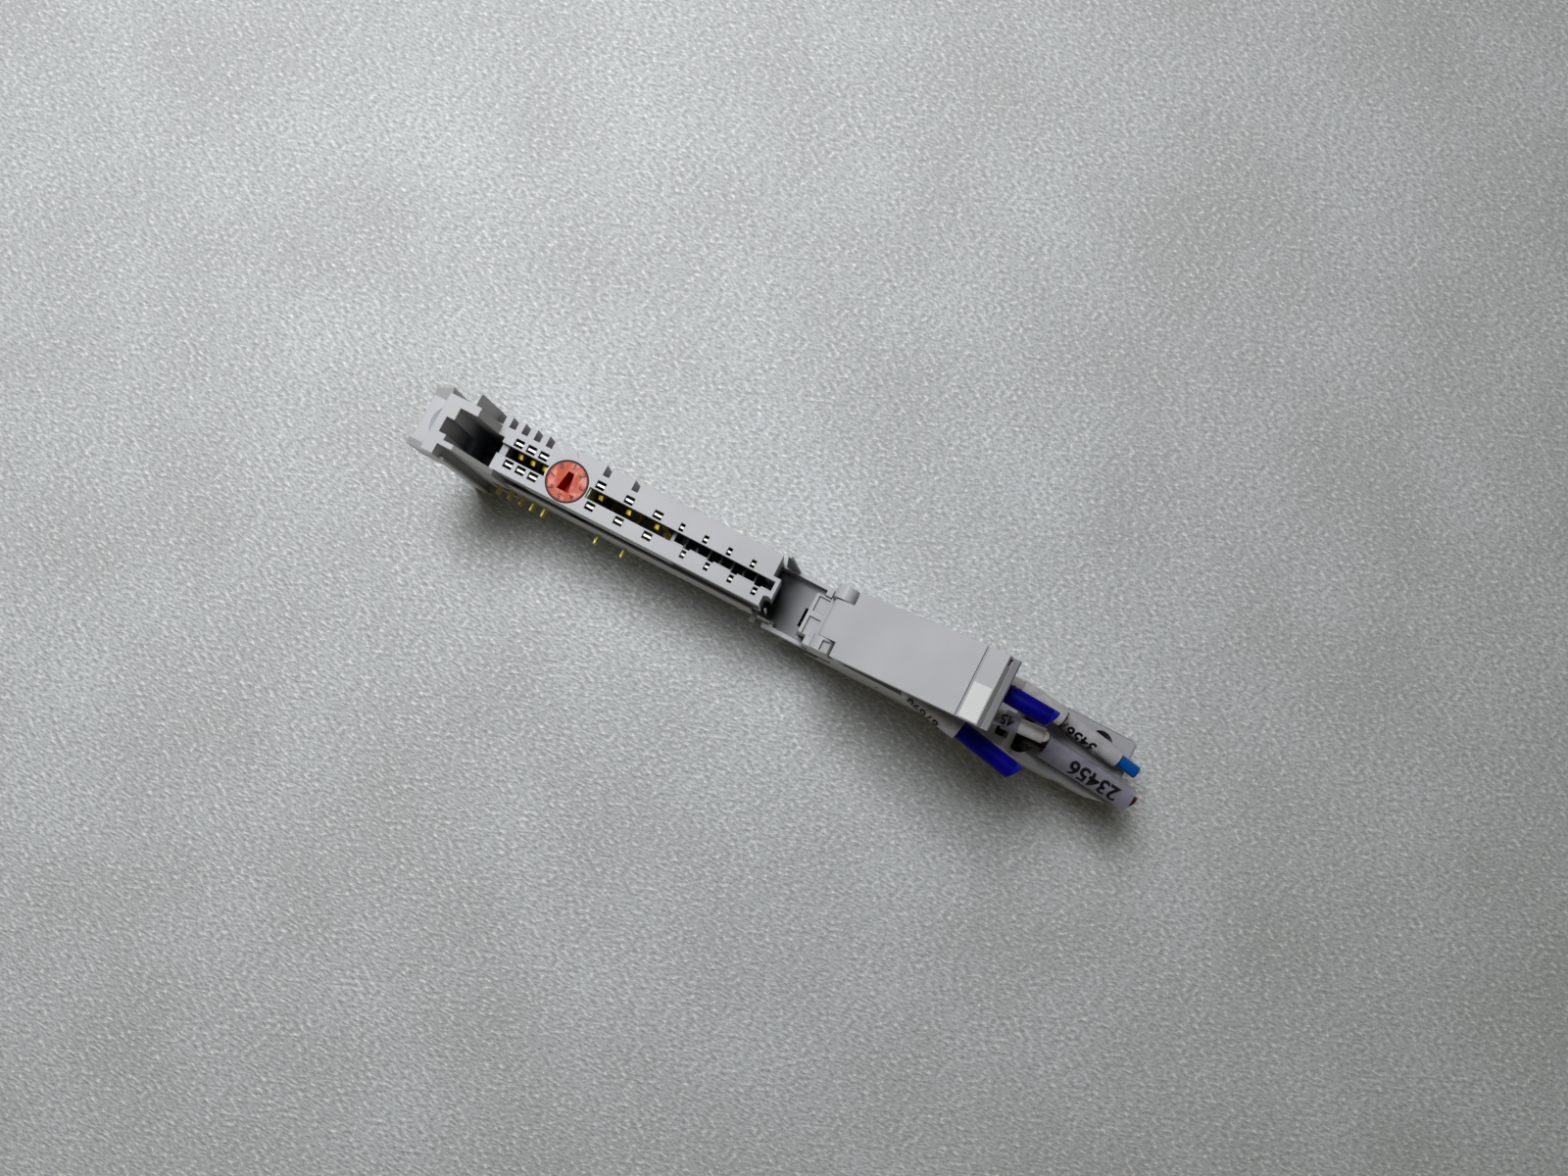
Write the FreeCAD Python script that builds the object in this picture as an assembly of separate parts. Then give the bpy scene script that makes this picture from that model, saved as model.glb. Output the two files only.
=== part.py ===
"""Slice-type terminal base for a 35 mm rail, with its wiring block, lift handle and cut wire stubs.

Millimetres. The origin is the middle of the rail, on the rail's front face. +X runs along the base to the
wiring end, +Y along the rail, +Z away from the rail.
"""

import FreeCAD
import Part

import math
import os

V = FreeCAD.Vector

# Section of the slice
SLICE = 12.0
SIDE_STEP = 2.35
FOOT_DEPTH = 4.5
FACE_HEIGHT = 26.0
TOWER_RISE = 9.0
SKIN = 1.8
WALL = 0.8
GAP = 0.2
OVER = 1.0

# Lengths along the base, from the outer face of the end post
POST_X = -30.35
POST = 2.75
POCKET = 5.9
BAY = 52.3
RECESS = 8.0
NOSE = 2.7
BLOCK = 59.2

# End tower
POST_OUT = 0.6
POST_NECK = 0.65
POST_TOE = 0.9
POST_TOE_W = 0.45
POST_TOE_DROP = 3.5
POCKET_Y0 = -3.76
POCKET_Y1 = 2.25
POCKET_FLOOR = 8.8
POCKET_WALL = 0.94
INNER_RIB = 1.6
INNER_FLAT = 3.13
INNER_RUN = 1.45
LOW_FLAT = 1.95
LOW_RUN = 5.0
OUTER_AT = 1.85
OUTER_FLAT = 0.2
OUTER_RUN = 1.25
LATCH_NOTCH_DEPTH = 1.4
LATCH_NOTCH_W = 2.76
LATCH_NOTCH_Y = -1.4
LATCH_NOTCH_DROP = 15.0

# Finger grip out from the tower
GRIP_REACH = 4.85
GRIP_TOP = 25.0
GRIP_HEIGHT = 9.5
GRIP_RIB = 1.25
GRIP_LAP = 0.8
GRIP_FLARE = 1.2
GRIP_FLARE_L = 2.9
GRIP_LOW_FALL = 0.75
GRIP_WEB = 2.2
GRIP_WEB_DROP = 1.4
GRIP_SCOOP = 4.1
GRIP_SCOOP_X = 0.8
GRIP_SCOOP_DEPTH = 1.4

# Module face
SLOT_Y = 0.28
SLOT_W = 2.04
SLOT_START = 1.26
RIB_DROP = 1.2
SEAT_SHOW = 0.35
COMB_LEDGE = 0.4
COMB_DROP = 0.8
COMB_NOTCH = 1.2
COMB_RIB = 0.4
COMB_RIB_DROP = 6.0
COMB_RIB_H = 6.5
DIVIDER = 0.65
DIVIDER_DROP = 2.2
COMB_NOSE = 1.5
KEY_GROOVE_R = 1.1
WINDOW_OFF = 2.04
WINDOW_W = 1.4
WINDOW_L = 1.65
SMALL_WINDOW_L = 0.85
UNDERCUT = 0.3
UNDERCUT_X = 35.2
UNDERCUT_RIM = 1.2

# Side contacts, and where their windows are along the face
BUS_PITCH = 2.39
BUS_LAST = 7.58
POWER_FIRST = 18.75
POWER_PITCH = 5.57
SIGNAL_FIRST = 34.53
SIGNAL_PITCH = 4.58
SIGNAL_STAGGER = 2.26
SHEET = 0.4
CONTACT_W = 1.4
SIGNAL_W = 0.7
CONTACT_TOP_GAP = 0.35
NOSE_DROP = 5.2
NOSE_SPAN = 2.6
NOSE_TIP = 0.6
NOSE_REACH = (1.9, 1.3)
BLADE_Z0 = 1.6
BLADE_H = 2.4
BLADE_OUT = 1.85
BUS_RUN = 0.9
BUS_RUN_GAP = 0.7
SIGNAL_RUN = 0.9
SIGNAL_RUN_PITCH = 1.5
SIGNAL_RUN_Z = 2.2
GROOVE_W = 1.2
GROOVE_MOUTH = 1.9
GROOVE_DEPTH = 0.7
GROOVE_RAMP = 6.0
CAVITY_Y1 = 4.0
CAVITY_FLOOR = 1.6
CAVITY_WALL = 1.2
COVER_T = 1.4
COVER_STEP = 0.6
COVER_LIP = 0.35
COVER_GROOVE = 1.0
COVER_GROOVE_X = 2.7
COVER_TOP = 13.5
COVER_LOW_TOP = 8.6
COVER_BOTTOM = 0.7
SNAP_L = 3.7
SNAP_H = 2.0
SNAP_X = 1.0
PASSAGE_WALL = 0.7
PASSAGE_ROOF = 0.6

# Key dial and its seat
DIAL_X = 13.22
DIAL_R = 3.65
DIAL_T = 4.4
DIAL_CLEAR = 0.15
DIAL_SHAFT_R = 1.25
DIAL_COLLAR_R = 1.7
DIAL_COLLAR_T = 0.9
SEAT_WALL = 0.55
SEAT_FLOOR = 1.1
SEAT_LID = 0.6
SEAT_SIDE_WALL = 0.2
RUN_FIT = 0.05
KEY_DEPTH = 3.8
KEY_LENGTH = 3.45
KEY_NARROW = 1.05
KEY_WIDE = 2.2

# Rail slot, latch and lock screw
RAIL_W = 35.0
RAIL_T = 1.0
RAIL_CLEAR = 0.1
RAIL_LIP = 1.1
LATCH_Y = 1.0
LATCH_W = 6.8
LATCH_L = 11.0
LATCH_CLEAR = 0.15
LATCH_RUNNER = 0.7
LATCH_RUNNER_T = 1.2
LATCH_FOOT_GAP = 0.3
LATCH_TOP_GAP = 0.6
SCREW_OFF = 3.65
SCREW_SLOT = 0.7
SCREW_SLOT_DEPTH = 1.4
SCREW_R = 1.85
SCREW_BEAD = 0.12
SCREW_BEAD_H = 0.6
SCREW_BEAD_DROP = 3.0
CAM_R = 0.7
CAM_THROW = 1.1
CAM_SLACK = 0.3

# Interlock tongues along the side
TONGUE = 0.85
TONGUE_L = 1.4
TONGUE_H = 8.5
TONGUE_DROP = 6.5
HOOK_L = 0.6
HOOK_FLARE = 2.1
HOOK_T = 0.5
HOOK_OUT = 0.65
HOOK_LAP = 0.25

# Recess and tray
RECESS_WALL_TOP = 11.8
CORNER_POST = 1.2
CORNER_POST_W = 1.7
LEDGE_TOP = 9.65
LEDGE_Y = -3.5
RAIL_START = 1.54
STEM_X = 2.7
STEM_W = 0.75
RECESS_SLIT = 0.5
RECESS_SLIT_L = 3.64
RECESS_SLIT_Y = -0.98
SIDE_SLIT_L = 4.9
SIDE_SLIT_H = 3.4
SIDE_SLIT_DEPTH = 1.0
CONNECTOR_TOP = 9.4
CONNECTOR_L = 17.0
TRAY_TOP = 4.0
CORE_PITCH = 12.0
CORE_RIB = 1.4
CORE_FLOOR = 1.8

# Wiring block
DECK_HIGH = 20.0
DECK_LOW = 13.3
RISER_RUN = 3.0
ROW_LAST = 6.0
ROW_PITCH = 12.7
ROWS = 4
COLUMN_Y = 2.9
ENTRY_R = 2.25
TOOL_OFF = 4.5
TOOL_L = 2.4
TOOL_W = 3.0
RISER_TOOL = 0.7
BLOCK_CORNER = 1.0
BLOCK_SIDE = 0.9
BLOCK_FLOOR = 0.8
CHAMBER_W = 4.4
HIGH_SKIN = 2.6
LOW_SKIN = 3.0
BAR = 0.5
BAR_W = 3.0
BAR_LEVEL = 0.3
BAR_PITCH = 1.1
BAR_PAST = 1.6
RISE_FIRST = 0.6
TAB_FIRST = 4.7
TAB_PITCH = 2.5
TAB_DEPTH = 2.8
TAB_SWING = 1.2
SPRING = 0.35
SPRING_L = 6.0
SPRING_R = 1.0
SPRING_TIP = 0.95
TOUCH = 0.01
NOSE_Y0 = -4.25
NOSE_Y1 = 3.15
NOSE_POCKET = 0.5
NOSE_STEP = 1.2
NOSE_RIM = 0.6
NOSE_EDGE = 0.28
NOSE_RIB = 1.0
NOSE_RIB_Y = -0.47

# Swing bar at the far end
BAR_X = 5.1
SWING_Z = 2.0
SWING_REACH = 2.7
SWING_R = 1.5
SWING_CLEAR = 0.15
SWING_WEB = 1.6
HOOK_BOTTOM = -1.2

# Lift handle
EAR_R = 1.9
EAR_RISE = 3.1
EAR_T = 2.45
PIN_R = 1.0
PIN_L = 1.9
EAR_POCKET_L = 2.0
EAR_POCKET_SIDE = 0.2
EAR_POCKET_W = 1.8
EAR_POCKET_DEPTH = 0.6
HANDLE_L = 31.7
HANDLE_T = 1.6
HANDLE_OVER = 1.3
HANDLE_LEAN = 31.0
HANDLE_START = 3.05
HANDLE_SIDE_GAP = 0.1
HANDLE_RIB = 0.8
HANDLE_RIB_H = 0.8
BAND = 3.55
BAND_GROOVE = 0.5
BAND_GROOVE_DEPTH = 0.4
LIP_REACH = 1.1
LIP_STEP = 2.0
LIP_T = 0.6
LIP_HOLLOW_SIDE = 0.4
LIP_HOLLOW_W = 1.2
LIP_HOLLOW_H = 1.3
LIP_HOLLOW_DEPTH = 0.8
LABEL_T = 0.15
LABEL_W = 5.9
LABEL_MARGIN = 0.15

# Wires: row, column, radius, and the route as offsets from the rim of the entry
THICK_WIRE = 1.6
WHITE_WIRE = 1.27
GREY_WIRE = 1.3
THIN_WIRE = 1.1
CORE_R = 0.7
ARC_SHARE = 0.45
CORDS = ("1_near", "1_far")
WIRES = {
    "1_near": (
        0, 1, THICK_WIRE,
        [(0, 0, -2), (0.6, -0.1, 3.6), (3.8, -2.2, 8.3), (14.6, -4.5, 9.2), (24.1, -6.4, 9.4)],
    ),
    "1_far": (
        0, 0, THICK_WIRE,
        [(0, 0, -2), (0.6, -0.1, 3.8), (4.6, -0.7, 9.2), (15.1, -1.5, 12.8), (25.4, -2.1, 13.2)],
    ),
    "2_near": (1, 1, WHITE_WIRE, [(0, 0, -2), (0.6, 0.1, 2.6), (3.5, 0.6, 6.6), (13.1, 1.2, 7.8)]),
    "2_far": (1, 0, GREY_WIRE, [(0, 0, -2), (0.6, 0.3, 3.6), (4.8, 1.5, 3.0), (16.0, 0.15, 2.3)]),
    "3_near": (2, 1, THIN_WIRE, [(0, 0, -1.7), (0.8, 0.9, 3.7), (21.1, -0.95, 3.0)]),
    "3_far": (2, 0, THIN_WIRE, [(0, 0, -1.7), (1.1, 1.1, 3.5), (19.8, -1.94, 2.9)]),
}

# Marker sleeves: bore clearance, wall, and the start and end as shares of the wire's longest run
SNUG = 0.08
LOOSE = 0.25
SLEEVE_WALL = 0.3
SLEEVE_WIDE = 0.8
SLEEVES = {
    "1_near": (SNUG, SLEEVE_WALL, 0.26, 0.87),
    "2_near": (SNUG, SLEEVE_WALL, 0.29, 0.55),
    "2_far": (SNUG, SLEEVE_WALL, 0.22, 0.98),
    "3_near": (LOOSE, SLEEVE_WIDE, 0.13, 0.97),
    "3_far": (LOOSE, SLEEVE_WALL, 0.19, 0.79),
}

# Places that follow from the sizes above
HALF = SLICE / 2
SIDE_Y = -HALF + SIDE_STEP
FOOT = -FOOT_DEPTH
FACE = FOOT + FACE_HEIGHT
TOWER = FACE + TOWER_RISE
POCKET_X = POST_X + POST
FACE_X = POCKET_X + POCKET
FACE_END = FACE_X + BAY
NOSE_X = FACE_END + RECESS
BLOCK_X = NOSE_X + NOSE
BLOCK_END = BLOCK_X + BLOCK
CONNECTOR_END = NOSE_X + CONNECTOR_L
SWING_X = BLOCK_END - BAR_X
TRAY_END = SWING_X - SWING_REACH
CAVITY_X0 = FACE_X + CAVITY_WALL
CAVITY_X1 = FACE_END - CAVITY_WALL
CAVITY_TOP = FACE - SKIN
COVER_Y0 = SIDE_Y - COVER_STEP
COVER_Y1 = COVER_Y0 + COVER_T
PASSAGE_X1 = CONNECTOR_END - PASSAGE_WALL
COVER_X1 = BLOCK_X + TAB_FIRST - 2 * TAB_SWING
PASSAGE_TOP = COVER_LOW_TOP - PASSAGE_ROOF
SLOT_Y0 = SLOT_Y - SLOT_W / 2
SLOT_Y1 = SLOT_Y + SLOT_W / 2
RIB_Y = POCKET_Y1 + INNER_RIB
OUTER_X = POCKET_X + OUTER_AT
ROW_Y = (SLOT_Y + WINDOW_OFF, SLOT_Y - WINDOW_OFF)
BUS_X = [FACE_X + BUS_LAST - BUS_PITCH * (4 - i) for i in range(5)]
POWER_X = [FACE_X + POWER_FIRST + POWER_PITCH * i for i in range(3)]
SIGNAL_X = [
    [FACE_X + SIGNAL_FIRST + SIGNAL_STAGGER * side + SIGNAL_PITCH * i for i in range(4)]
    for side in range(2)
]
BUS_CAVITY_X0 = BUS_X[0] - CONTACT_W / 2
BUS_CAVITY_TOP = POCKET_FLOOR - CAVITY_WALL
COMB_X0 = SIGNAL_X[0][0] - SIGNAL_W / 2 - GAP
COMB_X1 = FACE_END + WALL
DIAL = V(FACE_X + DIAL_X, SLOT_Y, FACE)
SEAT_R = DIAL_R + DIAL_CLEAR + SEAT_WALL
SEAT_BOTTOM = FACE - DIAL_T - RUN_FIT - SEAT_FLOOR
SEAT_SIDE_Y = SIDE_Y + SEAT_SIDE_WALL
ROW_X = [BLOCK_END - ROW_LAST - ROW_PITCH * (ROWS - 1 - i) for i in range(ROWS)]
COLUMN = (COLUMN_Y, -COLUMN_Y)
BLOCK_BOTTOM_HIGH = CONNECTOR_TOP + GAP
BLOCK_BOTTOM_LOW = TRAY_TOP + GAP
RISER_X1 = ROW_X[2] - RISER_TOOL
RISER_X0 = RISER_X1 - RISER_RUN
EAR_X = BLOCK_X + EAR_R
EAR_Z = DECK_HIGH + EAR_RISE
TAB_X = [BLOCK_X + TAB_FIRST + TAB_PITCH * i for i in range(ROWS)]
LATCH_X1 = -RAIL_W / 2 + RAIL_LIP - RAIL_CLEAR
LATCH_X0 = LATCH_X1 - LATCH_L
LATCH_TOP = -LATCH_TOP_GAP
SCREW_X = POST_X + SCREW_OFF
SCREW_Y = (POCKET_Y0 + POCKET_Y1) / 2


def block(x0, x1, y0, y1, z0, z1):
    """Box between two corners."""
    return Part.makeBox(x1 - x0, y1 - y0, z1 - z0, V(x0, y0, z0))


def slab(points, y0, y1):
    """Outline in X and Z, drawn out along Y."""
    corners = [V(x, y0, z) for x, z in points]
    return Part.Face(Part.makePolygon(corners + corners[:1])).extrude(V(0, y1 - y0, 0))


def slab_x(points, x0, x1):
    """Outline in Y and Z, drawn out along X."""
    corners = [V(x0, y, z) for y, z in points]
    return Part.Face(Part.makePolygon(corners + corners[:1])).extrude(V(x1 - x0, 0, 0))


def slab_z(points, z0, z1):
    """Outline in X and Y, drawn up along Z."""
    corners = [V(x, y, z0) for x, y in points]
    return Part.Face(Part.makePolygon(corners + corners[:1])).extrude(V(0, 0, z1 - z0))


def post_z(x, y, z0, z1, radius):
    """Upright cylinder."""
    return Part.makeCylinder(radius, z1 - z0, V(x, y, z0), V(0, 0, 1))


def rod_y(x, z, y0, y1, radius):
    """Cylinder along Y."""
    return Part.makeCylinder(radius, y1 - y0, V(x, y0, z), V(0, 1, 0))


def joined(*shapes):
    """One solid from overlapping ones."""
    return shapes[0].fuse(list(shapes[1:])).removeSplitter()


def ribbon(points, thickness, y0, y1):
    """Flat strip bent along a line in X and Z, with rounded bends."""
    runs = []
    for (xa, za), (xb, zb) in zip(points, points[1:]):
        length = math.hypot(xb - xa, zb - za)
        nx = -(zb - za) / length * thickness / 2
        nz = (xb - xa) / length * thickness / 2
        outline = [(xa + nx, za + nz), (xb + nx, zb + nz), (xb - nx, zb - nz), (xa - nx, za - nz)]
        runs.append(slab(outline, y0, y1))
    bends = [rod_y(x, z, y0, y1, thickness / 2) for x, z in points[1:-1]]
    return joined(*runs, *bends)


def cover_outline(inset):
    """Stepped outline of the side cover, shrunk on every side by inset."""
    left, low_left = CAVITY_X0 + inset, BUS_CAVITY_X0 + inset
    right, low_right = CAVITY_X1 - inset, COVER_X1 - inset
    bottom, low_top = COVER_BOTTOM + inset, COVER_LOW_TOP - inset
    top, bus_top = COVER_TOP - inset, BUS_CAVITY_TOP - inset
    return [
        (low_left, bottom),
        (low_right, bottom),
        (low_right, low_top),
        (right, low_top),
        (right, top),
        (left, top),
        (left, bus_top),
        (low_left, bus_top),
    ]


def fin(start, flat_end, run, y0, y1):
    """Upright rib on the module face: level on top, then a slope down to the face."""
    base = FACE - SKIN
    foot = flat_end + run
    return slab([(start, base), (start, TOWER), (flat_end, TOWER), (foot, FACE), (foot, base)], y0, y1)


def tower():
    """End post with its neck and toe, and the ribs each side of the latch pocket."""
    low_y, out_y = POCKET_Y0 - POCKET_WALL, -HALF - POST_OUT
    neck_x = POCKET_X - POST_NECK
    post = block(POST_X, POCKET_X, low_y, RIB_Y, FOOT, TOWER)
    neck = block(POST_X, neck_x, out_y, low_y + GAP, FOOT, TOWER)
    toe = block(POST_X, neck_x + POST_TOE, out_y, out_y + POST_TOE_W, FOOT, TOWER - POST_TOE_DROP)
    inner = fin(POST_X, POCKET_X + INNER_FLAT, INNER_RUN, POCKET_Y1, RIB_Y)
    low = fin(POST_X, POCKET_X + LOW_FLAT, LOW_RUN, low_y, POCKET_Y0)
    outer = fin(OUTER_X, OUTER_X + OUTER_FLAT, OUTER_RUN, RIB_Y, HALF)
    return joined(post, neck, toe, inner, low, outer)


def grip_slope(low_y, high_y, fall):
    """Space above a grip rib whose top falls away towards the near side."""
    outline = [
        (low_y - OVER, GRIP_TOP - fall),
        (low_y, GRIP_TOP - fall),
        (high_y, GRIP_TOP),
        (high_y + OVER, GRIP_TOP),
        (high_y + OVER, GRIP_TOP + OVER),
        (low_y - OVER, GRIP_TOP + OVER),
    ]
    return slab_x(outline, POST_X - GRIP_REACH - OVER, POST_X)


def grip():
    """Finger grip out from the end post: a flared rib, a straight rib and a scooped web between them."""
    x0 = POST_X - GRIP_REACH
    bottom, web_top = GRIP_TOP - GRIP_HEIGHT, GRIP_TOP - GRIP_WEB_DROP
    inside, outside = RIB_Y - GRIP_LAP, RIB_Y - GRIP_LAP + GRIP_RIB
    flare_x = x0 + GRIP_FLARE_L
    outline = [
        (x0, inside),
        (x0, outside),
        (flare_x, outside + GRIP_FLARE),
        (flare_x, RIB_Y),
        (POST_X, RIB_Y),
        (POST_X, inside),
    ]
    flared = slab_z(outline, bottom, GRIP_TOP)
    low_y0, low_y1 = -HALF - POST_OUT, -HALF - POST_OUT + GRIP_RIB
    straight = block(x0, POST_X, low_y0, low_y1, bottom, GRIP_TOP)
    flared = flared.cut(grip_slope(inside, outside + GRIP_FLARE, GRIP_WEB_DROP))
    straight = straight.cut(grip_slope(low_y0, low_y1, GRIP_LOW_FALL))
    web = block(x0, POST_X, low_y1 - GRIP_RIB / 2, RIB_Y, web_top - GRIP_WEB, web_top)
    scoop = post_z(POST_X + GRIP_SCOOP_X, SCREW_Y, web_top - GRIP_SCOOP_DEPTH, web_top + OVER, GRIP_SCOOP)
    return joined(flared, straight, web.cut(scoop))


def groove(x, top):
    """Space of one side groove: a ramped mouth, then a shallow channel down to the contact pad."""
    outline = [
        (HALF - GROOVE_MOUTH, top),
        (HALF + OVER, top),
        (HALF + OVER, BLADE_Z0),
        (HALF - GROOVE_DEPTH, BLADE_Z0),
        (HALF - GROOVE_DEPTH, FACE - GROOVE_RAMP),
        (HALF - GROOVE_MOUTH, FACE - SKIN),
    ]
    return slab_x(outline, x - GROOVE_W / 2, x + GROOVE_W / 2)


def face_openings():
    """Contact slots and windows through the module face, and the hole for the dial."""
    floor, over = CAVITY_TOP - OVER, FACE + OVER
    dial_x0, dial_x1 = DIAL.x - SEAT_R + SEAT_SHOW, DIAL.x + SEAT_R - SEAT_SHOW
    slot_x0 = FACE_X + SLOT_START
    ledge_y = SLOT_Y0 + COMB_LEDGE
    spaces = [
        block(slot_x0, dial_x0, SLOT_Y0, SLOT_Y1, floor, over),
        block(FACE_X - OVER, slot_x0 + GAP, SLOT_Y0, SLOT_Y1, FACE - RIB_DROP, over),
        block(dial_x1, COMB_X0, SLOT_Y0, SLOT_Y1, floor, over),
        block(COMB_X0 - GAP, COMB_X1, ledge_y, SLOT_Y1, floor, over),
        block(COMB_X0 - GAP, COMB_X1, SLOT_Y0, SLOT_Y1, FACE - COMB_DROP, over),
        block(CAVITY_X1 - OVER, COMB_X1, ledge_y, SLOT_Y1, CONNECTOR_TOP + OVER, over),
    ]
    for x in SIGNAL_X[1]:
        spaces.append(block(x - COMB_NOTCH / 2, x + COMB_NOTCH / 2, SLOT_Y0, SLOT_Y1, floor, over))
    for side, y in enumerate(ROW_Y):
        for x in BUS_X[2:] + POWER_X:
            spaces.append(window(x, y, WINDOW_L, floor, over))
        for x in SIGNAL_X[side]:
            spaces.append(window(x, y, SMALL_WINDOW_L, floor, over))
    spaces.append(post_z(DIAL.x, DIAL.y, floor, over, DIAL_R + DIAL_CLEAR))
    seat = post_z(DIAL.x, DIAL.y, SEAT_BOTTOM - GAP, FACE - SEAT_LID, SEAT_R)
    spaces.append(seat.common(block(FACE_X, FACE_END, SEAT_SIDE_Y, HALF, FOOT, FACE)))
    return spaces


def window(x, y, length, z0, z1):
    """Space of one contact window."""
    return block(x - length / 2, x + length / 2, y - WINDOW_W / 2, y + WINDOW_W / 2, z0, z1)


def chamber_ribs():
    """Walls between the signal contacts, with a taller one before the first, out from the far wall."""
    y0, y1 = ROW_Y[1] + SHEET / 2 + GAP, CAVITY_Y1 + OVER
    z1 = FACE - COMB_RIB_DROP
    z0 = z1 - COMB_RIB_H
    ribs = [block(COMB_X0 - DIVIDER, COMB_X0, y0, y1, z0, FACE - DIVIDER_DROP)]
    for i in range(len(SIGNAL_X[0]) + len(SIGNAL_X[1]) - 1):
        x = SIGNAL_X[0][0] + SIGNAL_STAGGER / 2 + SIGNAL_PITCH / 2 * i
        ribs.append(block(x - COMB_RIB / 2, x + COMB_RIB / 2, y0, y1, z0, z1))
    return ribs


def contact_spaces():
    """Hollow behind the side cover, with the slits that the side blades and the ground foot pass through."""
    pad_y = HALF - GROOVE_DEPTH
    blade_top = BLADE_Z0 + BLADE_H
    hollow = block(CAVITY_X0, CAVITY_X1, COVER_Y1, CAVITY_Y1, CAVITY_FLOOR, CAVITY_TOP)
    spaces = [
        hollow.cut(chamber_ribs()),
        block(BUS_CAVITY_X0, CAVITY_X0 + OVER, COVER_Y1, CAVITY_Y1, CAVITY_FLOOR - GAP, BUS_CAVITY_TOP),
        block(CAVITY_X1 - OVER, PASSAGE_X1, COVER_Y1, CAVITY_Y1, CAVITY_FLOOR, PASSAGE_TOP),
        slab(cover_outline(-GAP / 2), -HALF - OVER, COVER_Y1),
    ]
    undercut_x = FACE_X + UNDERCUT_X
    undercut_top = FACE - UNDERCUT_RIM
    undercut_y = SIDE_Y + UNDERCUT
    spaces.append(block(undercut_x, FACE_END, SIDE_Y - OVER, undercut_y, COVER_TOP + GAP, undercut_top))
    for x in BUS_X + POWER_X[:2]:
        spaces.append(groove(x, TOWER + OVER))
        half = SHEET / 2 + GAP / 2
        spaces.append(block(x - half, x + half, CAVITY_Y1 - OVER, pad_y + GAP, BLADE_Z0, blade_top + GAP))
    half = CONTACT_W / 2 + GAP
    x0, x1 = POWER_X[2] - half, POWER_X[2] + half
    spaces.append(block(x0, x1, ROW_Y[1] - GAP, ROW_Y[0] + GAP, -OVER, CAVITY_FLOOR + OVER))
    return spaces


def rail_spaces():
    """Rail slot with the fixed lip left standing, the latch channel and the bore of the lock screw."""
    half = RAIL_W / 2 + RAIL_CLEAR
    lip = RAIL_W / 2 - RAIL_LIP + RAIL_CLEAR
    groove_z = -RAIL_T - RAIL_CLEAR
    under = FOOT - OVER
    side0, side1 = -HALF - OVER, HALF + TONGUE + OVER
    y0, y1 = LATCH_Y - LATCH_W / 2 - LATCH_CLEAR, LATCH_Y + LATCH_W / 2 + LATCH_CLEAR
    x0, x1 = LATCH_X0 - CAM_THROW - LATCH_CLEAR - GAP, -half + OVER
    runner_z0 = LATCH_TOP - LATCH_RUNNER_T - LATCH_CLEAR
    ceiling = LATCH_TOP + LATCH_CLEAR
    bead_z0 = POCKET_FLOOR - SCREW_BEAD_DROP - GAP / 2
    bead_z1 = bead_z0 + SCREW_BEAD_H + GAP
    return [
        block(-half, half, side0, side1, groove_z, 0),
        block(-half, lip, side0, side1, under, 0),
        block(x0, x1, y0, y1, under, ceiling),
        block(x0, x1, y0 - LATCH_RUNNER, y1 + LATCH_RUNNER, runner_z0, ceiling),
        post_z(SCREW_X, SCREW_Y, FOOT, POCKET_FLOOR + OVER, SCREW_R + RUN_FIT),
        post_z(SCREW_X, SCREW_Y, bead_z0, bead_z1, SCREW_R + SCREW_BEAD + RUN_FIT),
    ]


def core_pockets():
    """Hollows moulded into the underside of the tray."""
    first = RAIL_W / 2 + RAIL_LIP + CORE_RIB
    count = int((TRAY_END - CORE_RIB - first) // CORE_PITCH)
    spaces = []
    for i in range(count):
        x0 = first + CORE_PITCH * i
        x1 = x0 + CORE_PITCH - CORE_RIB
        shallow = x0 < CONNECTOR_END
        top = (COVER_BOTTOM if shallow else TRAY_TOP) - CORE_FLOOR
        low_y = SIDE_Y if x0 < BLOCK_X else -HALF
        spaces.append(block(x0, x1, low_y + CORE_RIB, HALF - CORE_RIB, FOOT - OVER, top))
    return spaces


def socket_spaces():
    """Sockets in the raised end of the tray that take the plug tabs of the wiring block."""
    half = BAR_W / 2 + GAP
    bottom = min(CONNECTOR_TOP - TAB_DEPTH - GAP, PASSAGE_TOP - OVER)
    spaces = []
    for x in TAB_X:
        x0, x1 = x - BAR / 2 - SIGNAL_W - 2 * GAP, x + BAR / 2 + TAB_SWING
        for y in COLUMN:
            spaces.append(block(x0, x1, y - half, y + half, bottom, CONNECTOR_TOP + OVER))
    return spaces


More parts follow.
